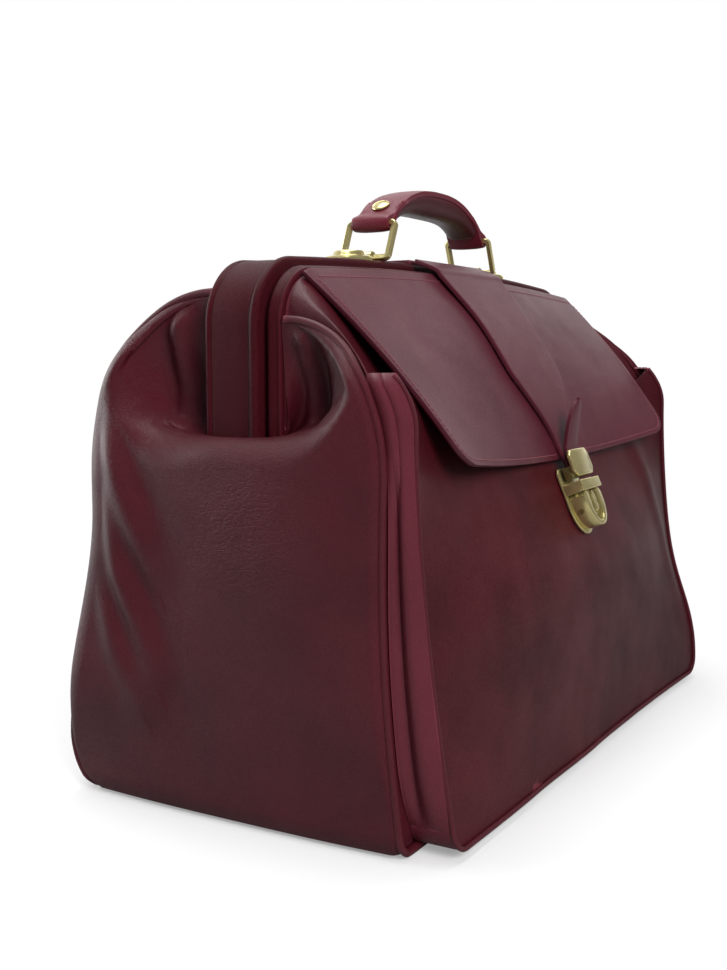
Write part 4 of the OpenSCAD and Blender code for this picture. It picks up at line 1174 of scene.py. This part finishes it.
# the strap's fixed end on the back cover
def anchorPoint(u, v):
    return (u * strap["topX"], mix(*strap["anchorY"], v), bag["crownZ"] + strap["anchorUp"])


piece = leatherSheet("strapAnchor", 40, 16, anchorPoint, strap["anchorThick"], strapLeather, rim=0.9)
settle(piece, "back_frame", "strap_leather", "strap_anchor")
print("strap made")

inside = {
    "baseIn": 2, "baseThick": 2.8, "liningIn": 4.6, "liningLow": 6.4, "liningDown": 6, "liningThick": 0.9,
    "power": 0.25,
}


def basePoint(u, v):
    low, back = bag["wallZ"], inside["baseIn"]
    return (u * (edgeX(low, -1) - back), mix(back - wallY(low, -1), wallY(low, 1) - back, v), low)


piece = leatherSheet("bottom", 60, 30, basePoint, inside["baseThick"], cordLeather, rim=0.8)
settle(piece, "body", "dark_leather", "base_panel")


def liningPoint(u, v):
    z = mix(inside["liningLow"], shoulderAt(0) - inside["liningDown"], v)
    x = bag["seamX"] - toe(z) - inside["liningIn"]
    a = (u + 1) * math.pi
    sx, sy = (1 if math.cos(a) >= 0 else -1), (1 if math.sin(a) >= 0 else -1)
    ca, sa = abs(math.cos(a)) ** inside["power"], abs(math.sin(a)) ** inside["power"]
    return (sx * x * ca, sy * (wallY(z, sy) - inside["liningIn"]) * sa, z)


piece = leatherSheet("lining", 200, 40, liningPoint, inside["liningThick"], liningCloth)
settle(piece, "body", "lining_cloth", "lining")
print("inside made")


# metal parts: each takes its shape from the frame model, with its edges broken
def brokenEdges(node, name, width, material, body, segments=2):
    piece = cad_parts[node].copy()
    piece.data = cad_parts[node].data.copy()
    piece.parent = None
    piece.matrix_world = Matrix.Identity(4)
    bpy.context.scene.collection.objects.link(piece)
    editAll(piece)
    bpy.ops.mesh.remove_doubles(threshold=mergeNear)
    bpy.ops.mesh.dissolve_limited(angle_limit=math.radians(2))
    bpy.ops.object.mode_set(mode="OBJECT")
    breakEdges(piece, width, segments, 35)
    finishPiece(piece, name, material, 35)
    settle(piece, body, "brass", node)


brokenEdges("lock_plate", "lockPlate", 0.35, brass, "body")
brokenEdges("lock_case", "lockCase", 0.7, brass, "body")
brokenEdges("lock_throat", "lockThroat", 1.9, brass, "body", segments=4)
brokenEdges("lock_button", "lockButton", 0.3, brass, "button")
brokenEdges("hasp_front", "haspPlate", 0.7, brass, "strap")
brokenEdges("hasp_back", "haspBack", 0.3, brassDark, "strap")
brokenEdges("handle_lugs", "ringLugs", 0.4, brass, "back_frame")
print("lock made")


def turnedPiece(name, profile, matrix):
    mesh = bpy.data.meshes.new(name)
    edges = [(k, k + 1) for k in range(len(profile) - 1)]
    mesh.from_pydata([(r * mm, 0, h * mm) for r, h in profile], edges, [])
    piece = linked(name, mesh)
    editAll(piece)
    bpy.ops.mesh.spin(steps=64, angle=2 * math.pi, center=(0, 0, 0), axis=(0, 0, 1))
    bpy.ops.object.mode_set(mode="OBJECT")
    faceOut(piece)
    piece.data.transform(matrix)
    return finishPiece(piece, name, brass, 25)


def joined(pieces, name):
    only(pieces[0])
    for piece in pieces[1:]:
        piece.select_set(True)
    bpy.ops.object.join()
    bpy.context.object.name = name
    return bpy.context.object


# the handle: lowX and topX are the rings' lower and upper bars
handle = {
    "y": 2, "lowX": 82, "topX": 72, "lugUp": 4.6, "rise": 23, "wide": 27, "up": 27.5, "power": 2.6,
    "thick": 18, "droop": 19, "eye": 5.6, "strip": 3.2, "crown": 0.9, "rivetX": 61, "rivetUp": 0.2,
    "baseX": 102, "baseUp": 0.05, "barRoom": 4, "steps": 180, "padX": 62, "padY": 12.2, "padGap": 0.9,
    "padSkin": 1.2,
}


def crownAt(x):
    return bag["crownZ"] - x * x / (2 * bag["crownR"])


handle["topZ"] = crownAt(handle["lowX"]) + handle["lugUp"] + handle["rise"]
# radius and height of the turned brass bases under the rings, and of the rivet heads
baseProfile = [(0, 0.3), (14.6, 0.3), (15.2, 1.0), (15.2, 3.6), (14.4, 4.8), (12.6, 5.4), (10.6, 5.6),
               (10.2, 6.0), (9.5, 7.6), (8.6, 8.4), (7.2, 8.6), (3, 8.8), (0, 8.9)]
rivetProfile = [(0, 0.05), (5.4, 0.05), (5.9, 0.3), (6.0, 0.8), (5.7, 1.35), (5.2, 1.6), (4.7, 1.5),
                (4.3, 1.2), (3.4, 1.45), (1.8, 1.8), (0, 1.9)]


def handleTop(x):
    out = abs(x) / (handle["topX"] + handle["barRoom"])
    return handle["topZ"] + handle["up"] * (1 - out ** handle["power"])


def handleLow(x):
    return handle["topZ"] + handle["up"] - handle["thick"] - handle["droop"] * (abs(x) / handle["topX"]) ** 4


bases, rivets = [], []
for dirX in (-1, 1):
    x = dirX * handle["baseX"]
    lean = Matrix.Rotation(math.asin(x / bag["crownR"]), 4, "Y")
    spot = Vector((x, handle["y"], crownAt(x) + handle["baseUp"])) * mm
    bases.append(turnedPiece("base", baseProfile, Matrix.Translation(spot) @ lean))
    x = dirX * handle["rivetX"]
    slope = Matrix.Rotation(math.atan2(handleTop(x - 1) - handleTop(x + 1), 2), 4, "Y")
    spot = Vector((x, handle["y"], handleTop(x) + handle["rivetUp"])) * mm
    rivets.append(turnedPiece("rivet", rivetProfile, Matrix.Translation(spot) @ slope))
settle(joined(bases, "ringBases"), "back_frame", "brass", "handle_bases")
settle(joined(rivets, "handleRivets"), "handle", "brass", "handle_rivets")

ring = {"half": 16.7, "side": 3.7, "corner": 2.4, "cornerSteps": 6, "edge": 0.6}
lean = math.atan2(handle["lowX"] - handle["topX"], handle["rise"])
long = math.hypot(handle["lowX"] - handle["topX"], handle["rise"])
for dirX, name in ((-1, "Left"), (1, "Right")):
    loop = []
    for cy, cz, start in ((1, 1, 0), (-1, 1, 90), (-1, -1, 180), (1, -1, 270)):
        for k in range(ring["cornerSteps"] + 1):
            a = math.radians(start + 90 / ring["cornerSteps"] * k)
            y = cy * (ring["half"] - ring["corner"]) + ring["corner"] * math.cos(a)
            up = long / 2 + cz * (long / 2 - ring["corner"]) + ring["corner"] * math.sin(a)
            loop.append(Vector((dirX * (handle["lowX"] - up * math.sin(lean)), handle["y"] + y,
                                handle["topZ"] - handle["rise"] + up * math.cos(lean))))
    piece = cordPiece("ring" + name, loop, ring["side"] / math.sqrt(2), brass, square=True)
    breakEdges(piece, ring["edge"], 2, 50)
    settle(piece, "ring_" + name.lower(), "brass", "ring_" + name.lower())
print("rings made")

# the grip's strip from under the handle, round a ring's upper bar and over the top to the other ring
halfRun = [(52, handleTop(52) - 4.4), (60, handleTop(60) - 5.2), (64.5, handle["topZ"] + 0.8)]
for a in (-70, -105, -140, -175, 150, 122, 98):
    a, r = math.radians(a), handle["eye"]
    halfRun.append((handle["topX"] - r * math.cos(a), handle["topZ"] + r * math.sin(a)))
halfRun += [(x, handleTop(x)) for x in (67, 62, 56, 48, 38, 26, 13)]
leftRun, rightRun = [(-x, 0, z) for x, z in halfRun], [(x, 0, z) for x, z in halfRun[::-1]]
stripRun = smoothPath(leftRun + [(0, 0, handleTop(0))] + rightRun, handle["steps"] + 1)


def gripPoint(u, v):
    i = int(round((u + 1) * handle["steps"] / 2))
    w = 2 * v - 1
    d = (stripRun[min(handle["steps"], i + 1)] - stripRun[max(0, i - 1)]).normalized()
    p = stripRun[i] - Vector((-d.z, 0, d.x)) * handle["crown"] * abs(w) ** 3
    return (p.x, handle["y"] + w * handle["wide"] / 2, p.z)


piece = leatherSheet("handleGrip", handle["steps"], 14, gripPoint, handle["strip"], gripLeather, rim=0.6)
settle(piece, "handle", "strap_leather", "handle_grip")


def padPoint(u, v):
    x = handle["padX"] * math.sin(u * math.pi / 2)
    top = handleTop(x) - handle["strip"] - handle["padGap"]
    deep = max(0.4, top - handleLow(x)) * (1 - abs(u) ** 14 * 0.6)
    a = math.pi * v
    across = math.copysign(abs(math.cos(a)) ** 0.6, math.cos(a))
    return (x, handle["y"] - handle["padY"] * across, top - deep * abs(math.sin(a)) ** 0.75)


piece = leatherSheet("handlePad", 80, 28, padPoint, handle["padSkin"], cordLeather, flip=True)
settle(piece, "handle", "strap_leather", "handle_pad")
print("handle made")

# metal and wood nodes whose shape is right
keptAsTheyAre = {
    "base_board": board, "front_bar": steel, "back_bar": steel, "lock_backing": steel,
    "lock_screws": brassDark, "hasp_rivets": brassDark, "hinge_pin_left": brass, "hinge_pin_right": brass,
}
for node, material in keptAsTheyAre.items():
    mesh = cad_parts[node].data
    mesh.materials.clear()
    mesh.materials.append(material)

# floor that only keeps the shadow
clearSelection()
bpy.ops.mesh.primitive_plane_add(size=2 * studio["floorHalf"], location=(0, 0, -studio["floorDown"]))
floor = bpy.context.object
floor.name = "studioFloor"
floorMaterial, tree, matte = newMaterial("studioFloor")
path = addNode(tree, "ShaderNodeLightPath")
pale, dim = studio["floorPale"], studio["floorBounce"]
tone = mixColour(tree, path.outputs["Is Camera Ray"], (dim, dim, dim, 1), (pale, pale, pale, 1))
fillNode(tree, matte, {"Base Color": tone, "Roughness": 0.75, "Specular IOR Level": 0.1})
glow = addNode(tree, "ShaderNodeEmission", {"Color": (1, 1, 1, 1), "Strength": 1.0})
spot = objectPlace(tree)
reach = vectorNode(tree, "LENGTH", spot)["Value"]
far = rangeNode(tree, reach, studio["shadowNear"], studio["shadowFar"], studio["floorLift"], 1.0)
sweep = towardBackdrop(tree, spot, studio["sweepFrom"], studio["sweepFull"])
whiten = addNode(tree, "ShaderNodeMixShader", {0: mathNode(tree, "MULTIPLY", far, seenWhite(tree, sweep)),
                                               1: matte.outputs[0], 2: glow.outputs[0]})
tree.links.new(whiten.outputs[0], tree.nodes["Material Output"].inputs["Surface"])
floor.data.materials.append(floorMaterial)
